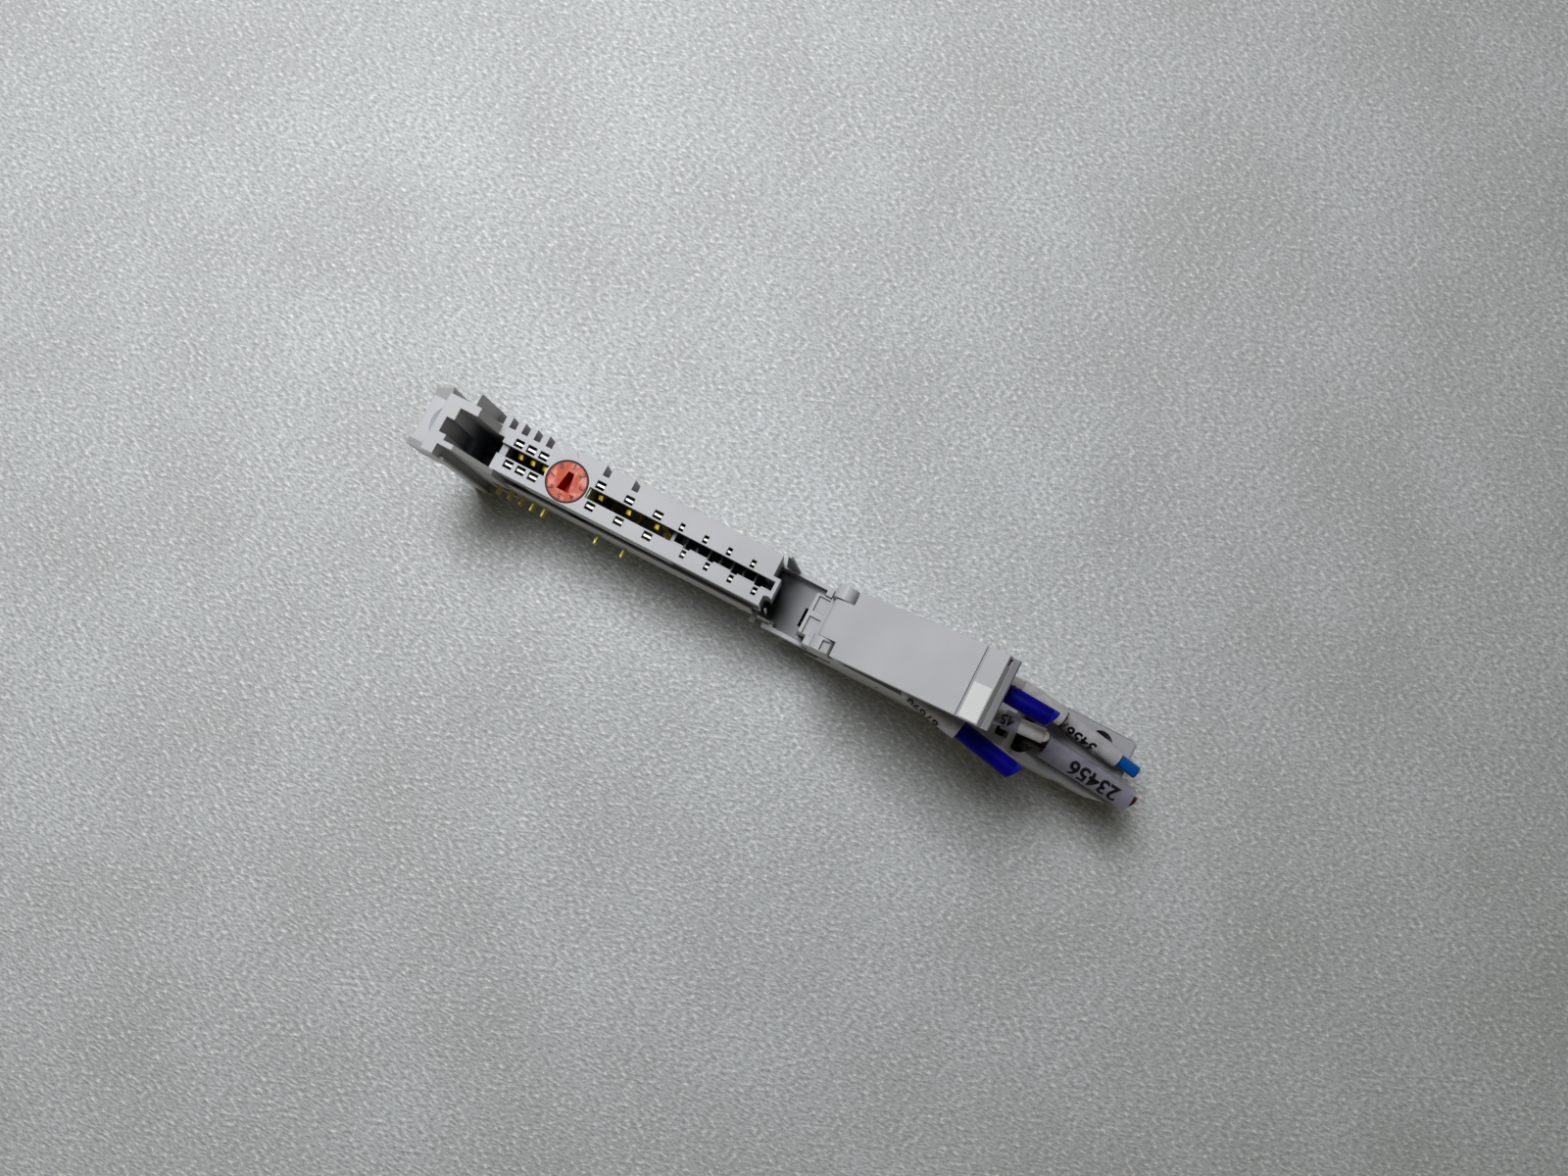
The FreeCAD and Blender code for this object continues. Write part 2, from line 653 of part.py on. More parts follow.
def recess_walls():
    """Walls round the recess: comb nose, far wall with corner post, near ledge and side rail on its stem."""
    low = CONNECTOR_TOP - OVER
    nose_wall = block(FACE_END - WALL, FACE_END + COMB_NOSE, SIDE_Y, SLOT_Y1 + WALL, low, FACE)
    groove_y = (SIDE_Y + SLOT_Y0 - WALL) / 2
    key_groove = post_z(FACE_END + COMB_NOSE / 2, groove_y, CONNECTOR_TOP, FACE + OVER, KEY_GROOVE_R)
    end = BLOCK_X - GAP
    far = block(FACE_END - WALL, end, HALF - WALL, HALF, low, RECESS_WALL_TOP)
    post = block(end - CORNER_POST, end, HALF - CORNER_POST_W, HALF, low, RECESS_WALL_TOP)
    stem_x = FACE_END + STEM_X
    inner = -HALF + WALL + GAP
    ledge = block(stem_x, NOSE_X - GAP, inner, LEDGE_Y, low, LEDGE_TOP)
    narrow = block(stem_x, end, inner, NOSE_Y0 - GAP, low, LEDGE_TOP)
    stem = block(stem_x, stem_x + STEM_W, -HALF, NOSE_Y0, low, RECESS_WALL_TOP)
    rail = block(FACE_END + RAIL_START, end, -HALF, -HALF + WALL, low, RECESS_WALL_TOP)
    return [nose_wall.cut(key_groove), far, post, ledge, narrow, stem, rail]


def recess_spaces():
    """Open corner and open side below the side rail, slit in the recess floor and slit in the side."""
    x1 = NOSE_X - RECESS_SLIT / 2
    y0, y1 = RECESS_SLIT_Y - RECESS_SLIT_L / 2, RECESS_SLIT_Y + RECESS_SLIT_L / 2
    stem_x = FACE_END + STEM_X
    side = -HALF - OVER
    side_z = CONNECTOR_TOP - SIDE_SLIT_H
    return [
        block(FACE_END, stem_x, side, LEDGE_Y, COVER_LOW_TOP, FACE),
        block(FACE_END - OVER, BLOCK_X, side, SIDE_Y, FOOT - OVER, COVER_LOW_TOP),
        block(x1 - RECESS_SLIT, x1, y0, y1, PASSAGE_TOP - OVER, CONNECTOR_TOP + OVER),
        block(BLOCK_X, BLOCK_X + SIDE_SLIT_L, side, -HALF + SIDE_SLIT_DEPTH, side_z, CONNECTOR_TOP + OVER),
    ]


def tongue():
    """Upright rib beside the tower that keys into the next slice."""
    top = FACE - TONGUE_DROP
    return block(OUTER_X, OUTER_X + TONGUE_L, HALF - WALL, HALF + TONGUE, top - TONGUE_H, top)


def side_hook():
    """Thin fin on the far wall of the recess that leans out over the side rail of the next slice."""
    x0, x1 = FACE_END + WALL, FACE_END + WALL + HOOK_L
    x2 = x1 + HOOK_FLARE
    root, clear = RECESS_WALL_TOP - OVER, RECESS_WALL_TOP + GAP
    leaning = [
        (HALF - HOOK_LAP, root),
        (HALF, root),
        (HALF, clear),
        (HALF + HOOK_OUT, FACE),
        (HALF + HOOK_OUT - HOOK_T, FACE),
        (HALF - HOOK_LAP, clear),
    ]
    sloped = [(x0, root), (x0, FACE), (x1, FACE), (x2, clear), (x2, root)]
    return slab_x(leaning, x0, x2).common(slab(sloped, HALF - OVER, HALF + OVER))


def base_housing():
    """Main moulding."""
    bay = block(FACE_X - OVER, FACE_END, SIDE_Y, HALF, FOOT, FACE)
    foot = block(POST_X, FACE_X + WALL, POCKET_Y0 - POCKET_WALL, HALF, FOOT, FACE)
    raised = block(FACE_END - OVER, CONNECTOR_END, -HALF, HALF, FOOT, CONNECTOR_TOP)
    tray = block(CONNECTOR_END - OVER, TRAY_END, -HALF, HALF, FOOT, TRAY_TOP)
    web_z0, web_z1 = SWING_Z - SWING_WEB / 2, SWING_Z + SWING_WEB / 2
    swing_web = block(TRAY_END - OVER, SWING_X, -HALF, HALF, web_z0, web_z1)
    swing_bar = rod_y(SWING_X, SWING_Z, -HALF, HALF, SWING_R)
    mass = joined(bay, foot, raised, tray, swing_web, swing_bar).cut(recess_spaces())
    corner = block(POST_X - OVER, OUTER_X, RIB_Y, HALF + OVER, POCKET_FLOOR, TOWER + OVER)
    body = joined(mass.cut(corner), tower(), grip(), tongue(), side_hook(), *recess_walls())
    notch_x, notch_y = POCKET_X - LATCH_NOTCH_DEPTH, LATCH_NOTCH_Y - LATCH_NOTCH_W / 2
    notch_z = TOWER - LATCH_NOTCH_DROP
    spaces = [
        block(POCKET_X, FACE_X, POCKET_Y0, POCKET_Y1, POCKET_FLOOR, TOWER + OVER),
        block(notch_x, POCKET_X + OVER, notch_y, notch_y + LATCH_NOTCH_W, notch_z, TOWER + OVER),
    ]
    spaces += face_openings() + contact_spaces() + rail_spaces() + core_pockets() + socket_spaces()
    return body.cut(spaces).removeSplitter()


def side_cover():
    """Plate that closes the contact hollow, slit for the side blades, with a grooved top edge and a snap."""
    plate = slab(cover_outline(GAP / 2), COVER_Y0, COVER_Y1)
    half = SHEET / 2 + GAP
    spaces = [
        block(x - half, x + half, -HALF, HALF, BLADE_Z0 - GAP, BLADE_Z0 + BLADE_H + GAP)
        for x in BUS_X + POWER_X[:2]
    ]
    x0, y0 = FACE_X + COVER_GROOVE_X, COVER_Y0 + COVER_LIP
    spaces.append(block(x0, CAVITY_X1, y0, SIDE_Y, COVER_TOP - COVER_GROOVE, COVER_TOP + OVER))
    snap_x = DIAL.x + SNAP_X
    snap_y0, snap_y1 = COVER_Y0 + COVER_LIP / 2, SIDE_Y + WALL / 2
    spaces.append(block(snap_x, snap_x + SNAP_L, snap_y0, snap_y1, COVER_TOP - SNAP_H, COVER_TOP + OVER))
    return plate.cut(spaces)


def dial_seat():
    """Cup under the module face that the key dial turns in."""
    top = FACE - SEAT_LID
    cup = post_z(DIAL.x, DIAL.y, SEAT_BOTTOM, top, SEAT_R - RUN_FIT)
    inside = post_z(DIAL.x, DIAL.y, SEAT_BOTTOM + SEAT_FLOOR, top + OVER, DIAL_R + DIAL_CLEAR)
    hole = post_z(DIAL.x, DIAL.y, SEAT_BOTTOM - OVER, top, DIAL_SHAFT_R + RUN_FIT)
    side = block(FACE_X, FACE_END, -HALF, SEAT_SIDE_Y + RUN_FIT, FOOT, FACE)
    return cup.cut([inside, hole, side])


def key_dial():
    """Turning disc with a wedge pocket for the module's key, on a stub shaft with a collar."""
    disc = post_z(DIAL.x, DIAL.y, FACE - DIAL_T, FACE, DIAL_R)
    collar_top = SEAT_BOTTOM - RUN_FIT
    shaft = post_z(DIAL.x, DIAL.y, collar_top - DIAL_COLLAR_T, FACE - DIAL_T, DIAL_SHAFT_R)
    collar = post_z(DIAL.x, DIAL.y, collar_top - DIAL_COLLAR_T, collar_top, DIAL_COLLAR_R)
    y0, y1 = DIAL.y - KEY_LENGTH / 2, DIAL.y + KEY_LENGTH / 2
    wedge = [
        (DIAL.x - KEY_WIDE / 2, y0),
        (DIAL.x + KEY_WIDE / 2, y0),
        (DIAL.x + KEY_NARROW / 2, y1),
        (DIAL.x - KEY_NARROW / 2, y1),
    ]
    return joined(disc, shaft, collar).cut(slab_z(wedge, FACE - KEY_DEPTH, FACE + OVER))


def upright(x, side, width, z0):
    """Contact leaf under a window, with a nose that bows into the slot."""
    y = ROW_Y[side]
    inward = 1 if side else -1
    top = FACE - CONTACT_TOP_GAP
    leaf = block(x - width / 2, x + width / 2, y - SHEET / 2, y + SHEET / 2, z0, top)
    tip_z, tip_y = FACE - NOSE_DROP, y + inward * NOSE_REACH[side]
    outline = [
        (y, tip_z + NOSE_SPAN),
        (tip_y, tip_z + NOSE_TIP / 2),
        (tip_y, tip_z - NOSE_TIP / 2),
        (y, tip_z - NOSE_SPAN),
    ]
    return joined(leaf, slab_x(outline, x - width / 3, x + width / 3))


def blade(x, y0, y1):
    """Side blade: a flat bar across the slice, edge up."""
    return block(x - SHEET / 2, x + SHEET / 2, y0, y1, BLADE_Z0, BLADE_Z0 + BLADE_H)


def bus_contacts():
    """Four through contacts, then the address input and the address output."""
    pad, tip = HALF - GROOVE_DEPTH, COVER_Y0 - BLADE_OUT
    low = BLADE_Z0
    parts = {}
    for i in (0, 1):
        end = BUS_X[i + 2]
        run_z = BLADE_Z0 + BLADE_H + BUS_RUN_GAP + (1 - i) * (BUS_RUN + BUS_RUN_GAP)
        y0, y1 = ROW_Y[1] - SHEET / 2, ROW_Y[1] + SHEET / 2
        run = block(BUS_X[i] - CONTACT_W / 4, end + CONTACT_W / 2, y0, y1, run_z, run_z + BUS_RUN)
        leg = block(BUS_X[i] - CONTACT_W / 4, BUS_X[i] + CONTACT_W / 4, y0, y1, low, run_z + BUS_RUN)
        leaf = upright(end, 1, CONTACT_W, run_z)
        parts[f"bus_contact_{i + 1}"] = joined(blade(BUS_X[i], tip, pad), run, leg, leaf)
    for i in (2, 3):
        x = BUS_X[i]
        parts[f"bus_contact_{i + 1}"] = joined(blade(x, tip, pad), upright(x, 0, CONTACT_W, low))
    last = BUS_X[4]
    parts["address_in_contact"] = joined(blade(last, ROW_Y[0], pad), upright(last, 0, CONTACT_W, low))
    parts["address_out_contact"] = joined(blade(last, tip, ROW_Y[1]), upright(last, 1, CONTACT_W, low))
    return parts


def power_contacts():
    """Two field power contacts with side blades, and the ground contact with its foot on the rail."""
    pad, tip = HALF - GROOVE_DEPTH, COVER_Y0 - BLADE_OUT
    parts = {}
    for i, x in enumerate(POWER_X[:2]):
        leaves = [upright(x, side, CONTACT_W, BLADE_Z0) for side in (0, 1)]
        parts[f"power_contact_{i + 1}"] = joined(blade(x, tip, pad), *leaves)
    ground = POWER_X[2]
    x0, x1 = ground - CONTACT_W / 2, ground + CONTACT_W / 2
    leaves = [upright(ground, side, CONTACT_W, CAVITY_FLOOR + GAP) for side in (0, 1)]
    foot = block(x0, x1, ROW_Y[1], ROW_Y[0], RUN_FIT, SHEET + RUN_FIT)
    leg_top = CAVITY_FLOOR + BLADE_H
    legs = [block(x0, x1, y - SHEET / 2, y + SHEET / 2, RUN_FIT, leg_top) for y in ROW_Y]
    parts["ground_contact"] = joined(*leaves, *legs, foot)
    return parts


def signal_contacts():
    """Nested strips from the comb slot, under the recess, to the sockets of the wiring block."""
    parts = {}
    for side in range(2):
        y0, y1 = ROW_Y[side] - SHEET / 2, ROW_Y[side] + SHEET / 2
        for i, x in enumerate(SIGNAL_X[side]):
            run_z = SIGNAL_RUN_Z + SIGNAL_RUN_PITCH * i
            end = TAB_X[3 - i] - BAR / 2 - GAP / 2
            run = block(x - SIGNAL_W / 2, end, y0, y1, run_z, run_z + SIGNAL_RUN)
            rise = block(end - SIGNAL_W, end, y0, y1, run_z, CONNECTOR_TOP - GAP)
            name = f"signal_contact_{2 * i + side + 1}"
            parts[name] = joined(upright(x, side, SIGNAL_W, run_z), run, rise)
    return parts


def din_latch():
    """Slider with a lip under the rail's edge, runners in the channel and a slot for the screw's pin."""
    y0, y1 = LATCH_Y - LATCH_W / 2, LATCH_Y + LATCH_W / 2
    bottom = FOOT + LATCH_FOOT_GAP
    lip_top = -RAIL_T - RAIL_CLEAR
    back = -RAIL_W / 2 - RAIL_CLEAR
    outline = [
        (LATCH_X0, bottom),
        (LATCH_X1, bottom),
        (LATCH_X1, lip_top),
        (back, lip_top),
        (back, LATCH_TOP),
        (LATCH_X0, LATCH_TOP),
    ]
    runner_z = LATCH_TOP - LATCH_RUNNER_T
    runners = block(LATCH_X0, back, y0 - LATCH_RUNNER, y1 + LATCH_RUNNER, runner_z, LATCH_TOP)
    pin_x = SCREW_X + CAM_THROW
    half = CAM_R + CAM_SLACK
    slot_y1 = SCREW_Y + CAM_THROW + half
    slot = block(pin_x - half, pin_x + half, SCREW_Y - half, slot_y1, bottom + WALL, LATCH_TOP + OVER)
    return joined(slab(outline, y0, y1), runners).cut(slot)


def lock_screw():
    """Quarter-turn screw, flush with the pocket's floor, with a snap bead and an eccentric pin below."""
    shank_z = LATCH_TOP + LATCH_CLEAR / 2
    shank = post_z(SCREW_X, SCREW_Y, shank_z, POCKET_FLOOR, SCREW_R)
    bead_z = POCKET_FLOOR - SCREW_BEAD_DROP
    bead = post_z(SCREW_X, SCREW_Y, bead_z, bead_z + SCREW_BEAD_H, SCREW_R + SCREW_BEAD)
    slot = block(
        SCREW_X - SCREW_R,
        SCREW_X + SCREW_R,
        SCREW_Y - SCREW_SLOT / 2,
        SCREW_Y + SCREW_SLOT / 2,
        POCKET_FLOOR - SCREW_SLOT_DEPTH,
        POCKET_FLOOR + OVER,
    )
    pin_z = FOOT + LATCH_FOOT_GAP + WALL + GAP
    pin = post_z(SCREW_X + CAM_THROW, SCREW_Y, pin_z, shank_z + LATCH_CLEAR, CAM_R)
    return joined(shank.cut(slot), bead, pin)


def column_hollows(y):
    """Hollow of one column of clamps, open below."""
    y0, y1 = y - CHAMBER_W / 2, y + CHAMBER_W / 2
    high_top, low_top = DECK_HIGH - HIGH_SKIN, DECK_LOW - LOW_SKIN
    shaft_x0 = CONNECTOR_END + GAP + BLOCK_FLOOR + GAP
    shaft_x1 = shaft_x0 + 3 * BAR_PITCH
    tabs_x0 = TAB_X[0] - TAB_SWING
    row2_end = ROW_X[1] + ENTRY_R + WALL
    end = ROW_X[-1] + ENTRY_R + GAP
    web_z = bar_level(1) - BAR / 2 - GAP
    return [
        block(tabs_x0, shaft_x1, y0, y1, BLOCK_BOTTOM_HIGH - OVER, high_top),
        block(shaft_x0, shaft_x1, y0, y1, BLOCK_BOTTOM_LOW - OVER, high_top),
        block(shaft_x1 - OVER, row2_end, y0, y1, web_z, high_top),
        block(shaft_x0, end, y0, y1, BLOCK_BOTTOM_LOW - OVER, low_top),
    ]


def end_rounded(body):
    """The wiring block with the upright edges of its far end rounded."""
    corners = []
    for edge in body.Edges:
        box = edge.BoundBox
        upright_edge = max(box.XLength, box.YLength) < RUN_FIT
        if upright_edge and abs(box.XMin - BLOCK_END) < RUN_FIT:
            corners.append(edge)
    return body.makeFillet(BLOCK_CORNER, corners)


def deck_openings():
    """Wire entries and tool slots of every clamp."""
    spaces = []
    for i, x in enumerate(ROW_X):
        high = i < 2
        deck = DECK_HIGH if high else DECK_LOW
        inside = deck - (HIGH_SKIN if high else LOW_SKIN) - OVER
        tool_x0, tool_x1 = x - TOOL_OFF - TOOL_L / 2, x - TOOL_OFF + TOOL_L / 2
        for y in COLUMN:
            spaces.append(post_z(x, y, inside, deck + OVER, ENTRY_R))
            spaces.append(block(tool_x0, tool_x1, y - TOOL_W / 2, y + TOOL_W / 2, inside, DECK_HIGH + OVER))
    return spaces


def block_housing():
    """Stepped moulding of the wiring block, with wire entries, tool slots, hinge ears and the end hook."""
    step = CONNECTOR_END + GAP
    outline = [
        (BLOCK_X, BLOCK_BOTTOM_HIGH),
        (step, BLOCK_BOTTOM_HIGH),
        (step, BLOCK_BOTTOM_LOW),
        (SWING_X, BLOCK_BOTTOM_LOW),
        (SWING_X, HOOK_BOTTOM),
        (BLOCK_END, HOOK_BOTTOM),
        (BLOCK_END, DECK_LOW),
        (RISER_X1, DECK_LOW),
        (RISER_X0, DECK_HIGH),
        (BLOCK_X, DECK_HIGH),
    ]
    body = end_rounded(slab(outline, -HALF, HALF))
    nose = block(NOSE_X, BLOCK_X + OVER, NOSE_Y0, NOSE_Y1, BLOCK_BOTTOM_HIGH, DECK_HIGH)
    step_x, step_z = BLOCK_X - NOSE_STEP, RECESS_WALL_TOP + GAP
    nose_step = block(step_x, BLOCK_X + OVER, -HALF + GAP, NOSE_Y0 + OVER, step_z, DECK_HIGH)
    ears = []
    for y0 in (HALF - EAR_T, -HALF):
        ears.append(rod_y(EAR_X, EAR_Z, y0, y0 + EAR_T, EAR_R))
        ears.append(block(BLOCK_X, EAR_X + EAR_R, y0, y0 + EAR_T, DECK_HIGH - OVER, EAR_Z))
    body = joined(body, nose, nose_step, *ears)
    pin_y = HALF - EAR_T + PIN_L + GAP
    pocket_x, pocket_y = EAR_X + EAR_R - EAR_POCKET_L, -HALF + EAR_POCKET_SIDE
    pocket_z = EAR_Z + EAR_R - EAR_POCKET_DEPTH
    ear_x1 = EAR_X + EAR_R + OVER
    spaces = [
        rod_y(EAR_X, EAR_Z, -pin_y, pin_y, PIN_R + RUN_FIT),
        rod_y(SWING_X, SWING_Z, -HALF - OVER, HALF + OVER, SWING_R + SWING_CLEAR),
        block(pocket_x, ear_x1, pocket_y, pocket_y + EAR_POCKET_W, pocket_z, EAR_Z + EAR_R + OVER),
        floor_plate(0.0),
    ]
    near_edge, far_edge = NOSE_RIB_Y - NOSE_RIB / 2, NOSE_RIB_Y + NOSE_RIB / 2
    for y0, y1 in ((NOSE_Y0, near_edge), (far_edge, NOSE_Y1 - NOSE_EDGE)):
        spaces.append(block(NOSE_X + NOSE_RIM, BLOCK_X, y0, y1, DECK_HIGH - NOSE_POCKET, DECK_HIGH + OVER))
    for y in COLUMN:
        spaces += column_hollows(y)
    return body.cut(spaces + deck_openings()).removeSplitter()


def floor_plate(inset):
    """Stepped plate that closes the clamp hollows from below, shrunk on its edges by inset."""
    half = HALF - BLOCK_SIDE - inset
    step = CONNECTOR_END + GAP
    x0 = TAB_X[0] - TAB_SWING - WALL + inset
    x1 = ROW_X[-1] + ENTRY_R + WALL - inset
    high, low = BLOCK_BOTTOM_HIGH, BLOCK_BOTTOM_LOW
    outline = [
        (x0, high),
        (step, high),
        (step, low),
        (x1, low),
        (x1, low + BLOCK_FLOOR),
        (step + BLOCK_FLOOR, low + BLOCK_FLOOR),
        (step + BLOCK_FLOOR, high + BLOCK_FLOOR),
        (x0, high + BLOCK_FLOOR),
    ]
    return slab(outline, -half, half)


def block_floor():
    """Floor plate of the wiring block, with a slit for each plug tab."""
    half = BAR_W / 2 + GAP / 2
    slits = [
        block(x - BAR / 2 - GAP / 2, x + BAR / 2 + GAP / 2, y - half, y + half, 0, DECK_LOW)
        for x in TAB_X
        for y in COLUMN
    ]
    return floor_plate(RUN_FIT).cut(slits)


def bar_level(row):
    """Height of a clamp bar in its own row."""
    if row < 2:
        return DECK_HIGH - HIGH_SKIN - 2 * SPRING_R - 2 * SPRING - BAR - BAR_PITCH * row
    return BLOCK_BOTTOM_LOW + BLOCK_FLOOR + BAR_LEVEL + BAR / 2 + BAR_PITCH * (3 - row)


def clamp_bars():
    """Current bars, nested in height, from each clamp to its plug tab."""
    parts = {}
    tab_end = CONNECTOR_TOP - TAB_DEPTH
    shaft = CONNECTOR_END + GAP + BLOCK_FLOOR + GAP
    for column, y in enumerate(COLUMN):
        for row, x in enumerate(ROW_X):
            level = bar_level(row)
            tab = TAB_X[row]
            start = (x + BAR_PAST, level)
            if row < 2:
                line = [start, (tab, level), (tab, tab_end)]
            else:
                top = bar_level(1) - BAR_PITCH * (row - 1)
                rise = shaft + BAR_PITCH * (ROWS - 1 - row + RISE_FIRST)
                line = [start, (rise, level), (rise, top), (tab, top), (tab, tab_end)]
            name = f"clamp_bar_{2 * row + column + 1}"
            parts[name] = ribbon(line, BAR, y - BAR_W / 2, y + BAR_W / 2)
    return parts


def clamp_spring(x, y, foot_z):
    """Bent leaf spring: foot on the bar, round back, and a free leg that presses on the wire."""
    y0, y1 = y - BAR_W / 2, y + BAR_W / 2
    back_x, mid_z = x - SPRING_L, foot_z + SPRING_R
    leg_z = mid_z + SPRING_R
    outside = rod_y(back_x, mid_z, y0, y1, SPRING_R + SPRING / 2)
    inside = rod_y(back_x, mid_z, y0 - OVER, y1 + OVER, SPRING_R - SPRING / 2)
    half = block(back_x - 2 * SPRING_R, back_x, y0 - OVER, y1 + OVER, foot_z - SPRING, leg_z + SPRING_R)
    foot = ribbon([(back_x - TOUCH, foot_z), (x - 2 * CORE_R, foot_z)], SPRING, y0, y1)
    bend = back_x + SPRING_R
    leg = ribbon([(back_x - TOUCH, leg_z), (bend, leg_z), (x - SPRING_TIP, mid_z)], SPRING, y0, y1)
    return joined(outside.cut(inside).common(half), foot, leg)


def clamp_springs():
    """One spring on each clamp bar."""
    parts = {}
    for column, y in enumerate(COLUMN):
        for row, x in enumerate(ROW_X):
            foot_z = bar_level(row) + BAR / 2 + SPRING / 2
            parts[f"clamp_spring_{2 * row + column + 1}"] = clamp_spring(x, y, foot_z)
    return parts


def leaned(shape):
    """Turns a piece drawn along +X from the hinge axis up to the handle's lean."""
    shape.translate(V(EAR_X, 0, EAR_Z))
    shape.rotate(V(EAR_X, 0, EAR_Z), V(0, 1, 0), -HANDLE_LEAN)
    return shape


def block_handle():
    """Flat lift handle: hub and pins, plate with edge ribs, a cross groove and a stepped end lip."""
    top, under = HANDLE_OVER, HANDLE_OVER - HANDLE_T
    side0, side1 = -HALF - OVER, HALF + OVER
    hub_y = HALF - EAR_T - HANDLE_SIDE_GAP
    hub = rod_y(0, 0, -hub_y, hub_y, HANDLE_OVER)
    neck = block(0, HANDLE_START + OVER, -hub_y, hub_y, under, top)
    pins = rod_y(0, 0, -HALF + EAR_T - PIN_L, HALF - EAR_T + PIN_L, PIN_R)
    plate = block(HANDLE_START, HANDLE_L, -HALF, HALF, under, top)
    ribs = [
        block(HANDLE_START + EAR_R, HANDLE_L, y0, y0 + HANDLE_RIB, under - HANDLE_RIB_H, under)
        for y0 in (-HALF, HALF - HANDLE_RIB)
    ]
    step = top - LIP_STEP
    lip_outline = [
        (HANDLE_L - OVER, step - LIP_T),
        (HANDLE_L + LIP_REACH, step - LIP_T),
        (HANDLE_L + LIP_REACH, step),
        (HANDLE_L, step),
        (HANDLE_L, top),
        (HANDLE_L - OVER, top),
    ]
    lip = slab(lip_outline, -HALF, HALF)
    band_x = HANDLE_L - BAND
    hollow_x, hollow_y = HANDLE_L - LIP_HOLLOW_DEPTH, HALF - LIP_HOLLOW_SIDE
    spaces = [
        block(hollow_x, HANDLE_L + OVER, hollow_y - LIP_HOLLOW_W, hollow_y, step, step + LIP_HOLLOW_H),
        block(band_x - BAND_GROOVE, band_x, side0, side1, top - BAND_GROOVE_DEPTH, top + OVER),
    ]
    return leaned(joined(hub, neck, pins, plate, lip, *ribs).cut(spaces))


def marker_label():
    """Blank strip on the last band of the handle."""
    x0 = HANDLE_L - BAND + LABEL_MARGIN
    y0 = -HALF + LABEL_MARGIN
    x1, y1 = HANDLE_L - LABEL_MARGIN, y0 + LABEL_W
    return leaned(block(x0, x1, y0, y1, HANDLE_OVER, HANDLE_OVER + LABEL_T))


def route(points):
    """Path of straight runs and tangent arcs, each arc as large as its two runs allow, with the radii."""
    edges, radii = [], []
    at = points[0]
    for before, corner, after in zip(points, points[1:], points[2:]):
        back, ahead = before - corner, after - corner
        shorter = min(back.Length, ahead.Length)
        turn = math.pi - back.getAngle(ahead)
        back.normalize()
        ahead.normalize()
        trim = ARC_SHARE * shorter
        first, last = corner + back * trim, corner + ahead * trim
        inward = back + ahead
        inward.normalize()
        radius = trim / math.tan(turn / 2)
        middle = corner + inward * (math.hypot(radius, trim) - radius)
        edges.append(Part.LineSegment(at, first).toShape())
        edges.append(Part.Arc(first, middle, last).toShape())
        radii.append(radius)
        at = last
    edges.append(Part.LineSegment(at, points[-1]).toShape())
    return Part.Wire(edges), radii


def tube(points, radius):
    """Solid round tube along a route."""
    path, radii = route(points)
    start, ahead = points[0], points[1] - points[0]
    circle = Part.Wire(Part.Circle(start, ahead, radius).toShape())
    solid = path.makePipeShell([circle], True, True)
    return solid, path.Length, radii


def wires():
    """Wire stubs from their entries, each with a bared core down to its clamp bar, and marker sleeves."""
    parts, cords = {}, {}
    for name, (row, column, radius, offsets) in WIRES.items():
        deck = DECK_HIGH if row < 2 else DECK_LOW
        entry = V(ROW_X[row], COLUMN[column], deck)
        points = [entry + V(*offset) for offset in offsets]
        solid, length, radii = tube(points, radius)
        bar_top = bar_level(row) + BAR / 2 + RUN_FIT
        if name in CORDS:
            parts[f"core_{name}"] = post_z(entry.x, entry.y, bar_top, points[0].z - GAP, CORE_R)
            cords[f"wire_{name}"] = (solid, length, radius, radii)
        else:
            solid = joined(solid, post_z(entry.x, entry.y, bar_top, points[0].z + CORE_R, CORE_R))
        parts[f"wire_{name}"] = solid
        if name in SLEEVES:
            parts[f"sleeve_{name}"] = sleeve(points, radius, *SLEEVES[name])
    return parts, cords


def sleeve(points, radius, clear, wall, start_share, end_share):
    """Straight marker tube round the longest run of a wire."""
    before, after = max(zip(points, points[1:]), key=lambda run: (run[1] - run[0]).Length)
    along = after - before
    start = before + along * start_share
    length = along.Length * (end_share - start_share)
    inner = radius + clear
    outer = Part.makeCylinder(inner + wall, length, start, along)
    return outer.cut(Part.makeCylinder(inner, length, start, along))


def main():
    os.makedirs("parts", exist_ok=True)
    parts = {
        "base_housing": base_housing(),
        "side_cover": side_cover(),
        "dial_seat": dial_seat(),
        "key_dial": key_dial(),
        "din_latch": din_latch(),
        "lock_screw": lock_screw(),
        "block_housing": block_housing(),
        "block_floor": block_floor(),
        "block_handle": block_handle(),
        "marker_label": marker_label(),
    }
    for group in (bus_contacts, power_contacts, signal_contacts, clamp_bars, clamp_springs):
        parts.update(group())
    stubs, cords = wires()
    parts.update(stubs)
    for name, (solid, length, radius, radii) in cords.items():
        section = math.pi * radius**2 * length
        print(name, "length", round(length, 2), "arc radii", [round(r, 1) for r in radii])
        print(name, "volume", round(solid.Volume, 1), "of", round(section, 1))
    for name, shape in parts.items():
        shape.exportStep(f"parts/{name}.step")
        print(name, len(shape.Solids), shape.isValid(), round(shape.Volume, 2))


main()
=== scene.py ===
"""Looks of the slice-type terminal base: materials, dial numbers, wires, marker tubes, camera and light.

Metres, in the frame of the CAD model: +X runs to the wiring end, +Y along the rail, +Z away from the rail.
"""

import math

import bmesh
import bpy
from mathutils import Matrix, Vector


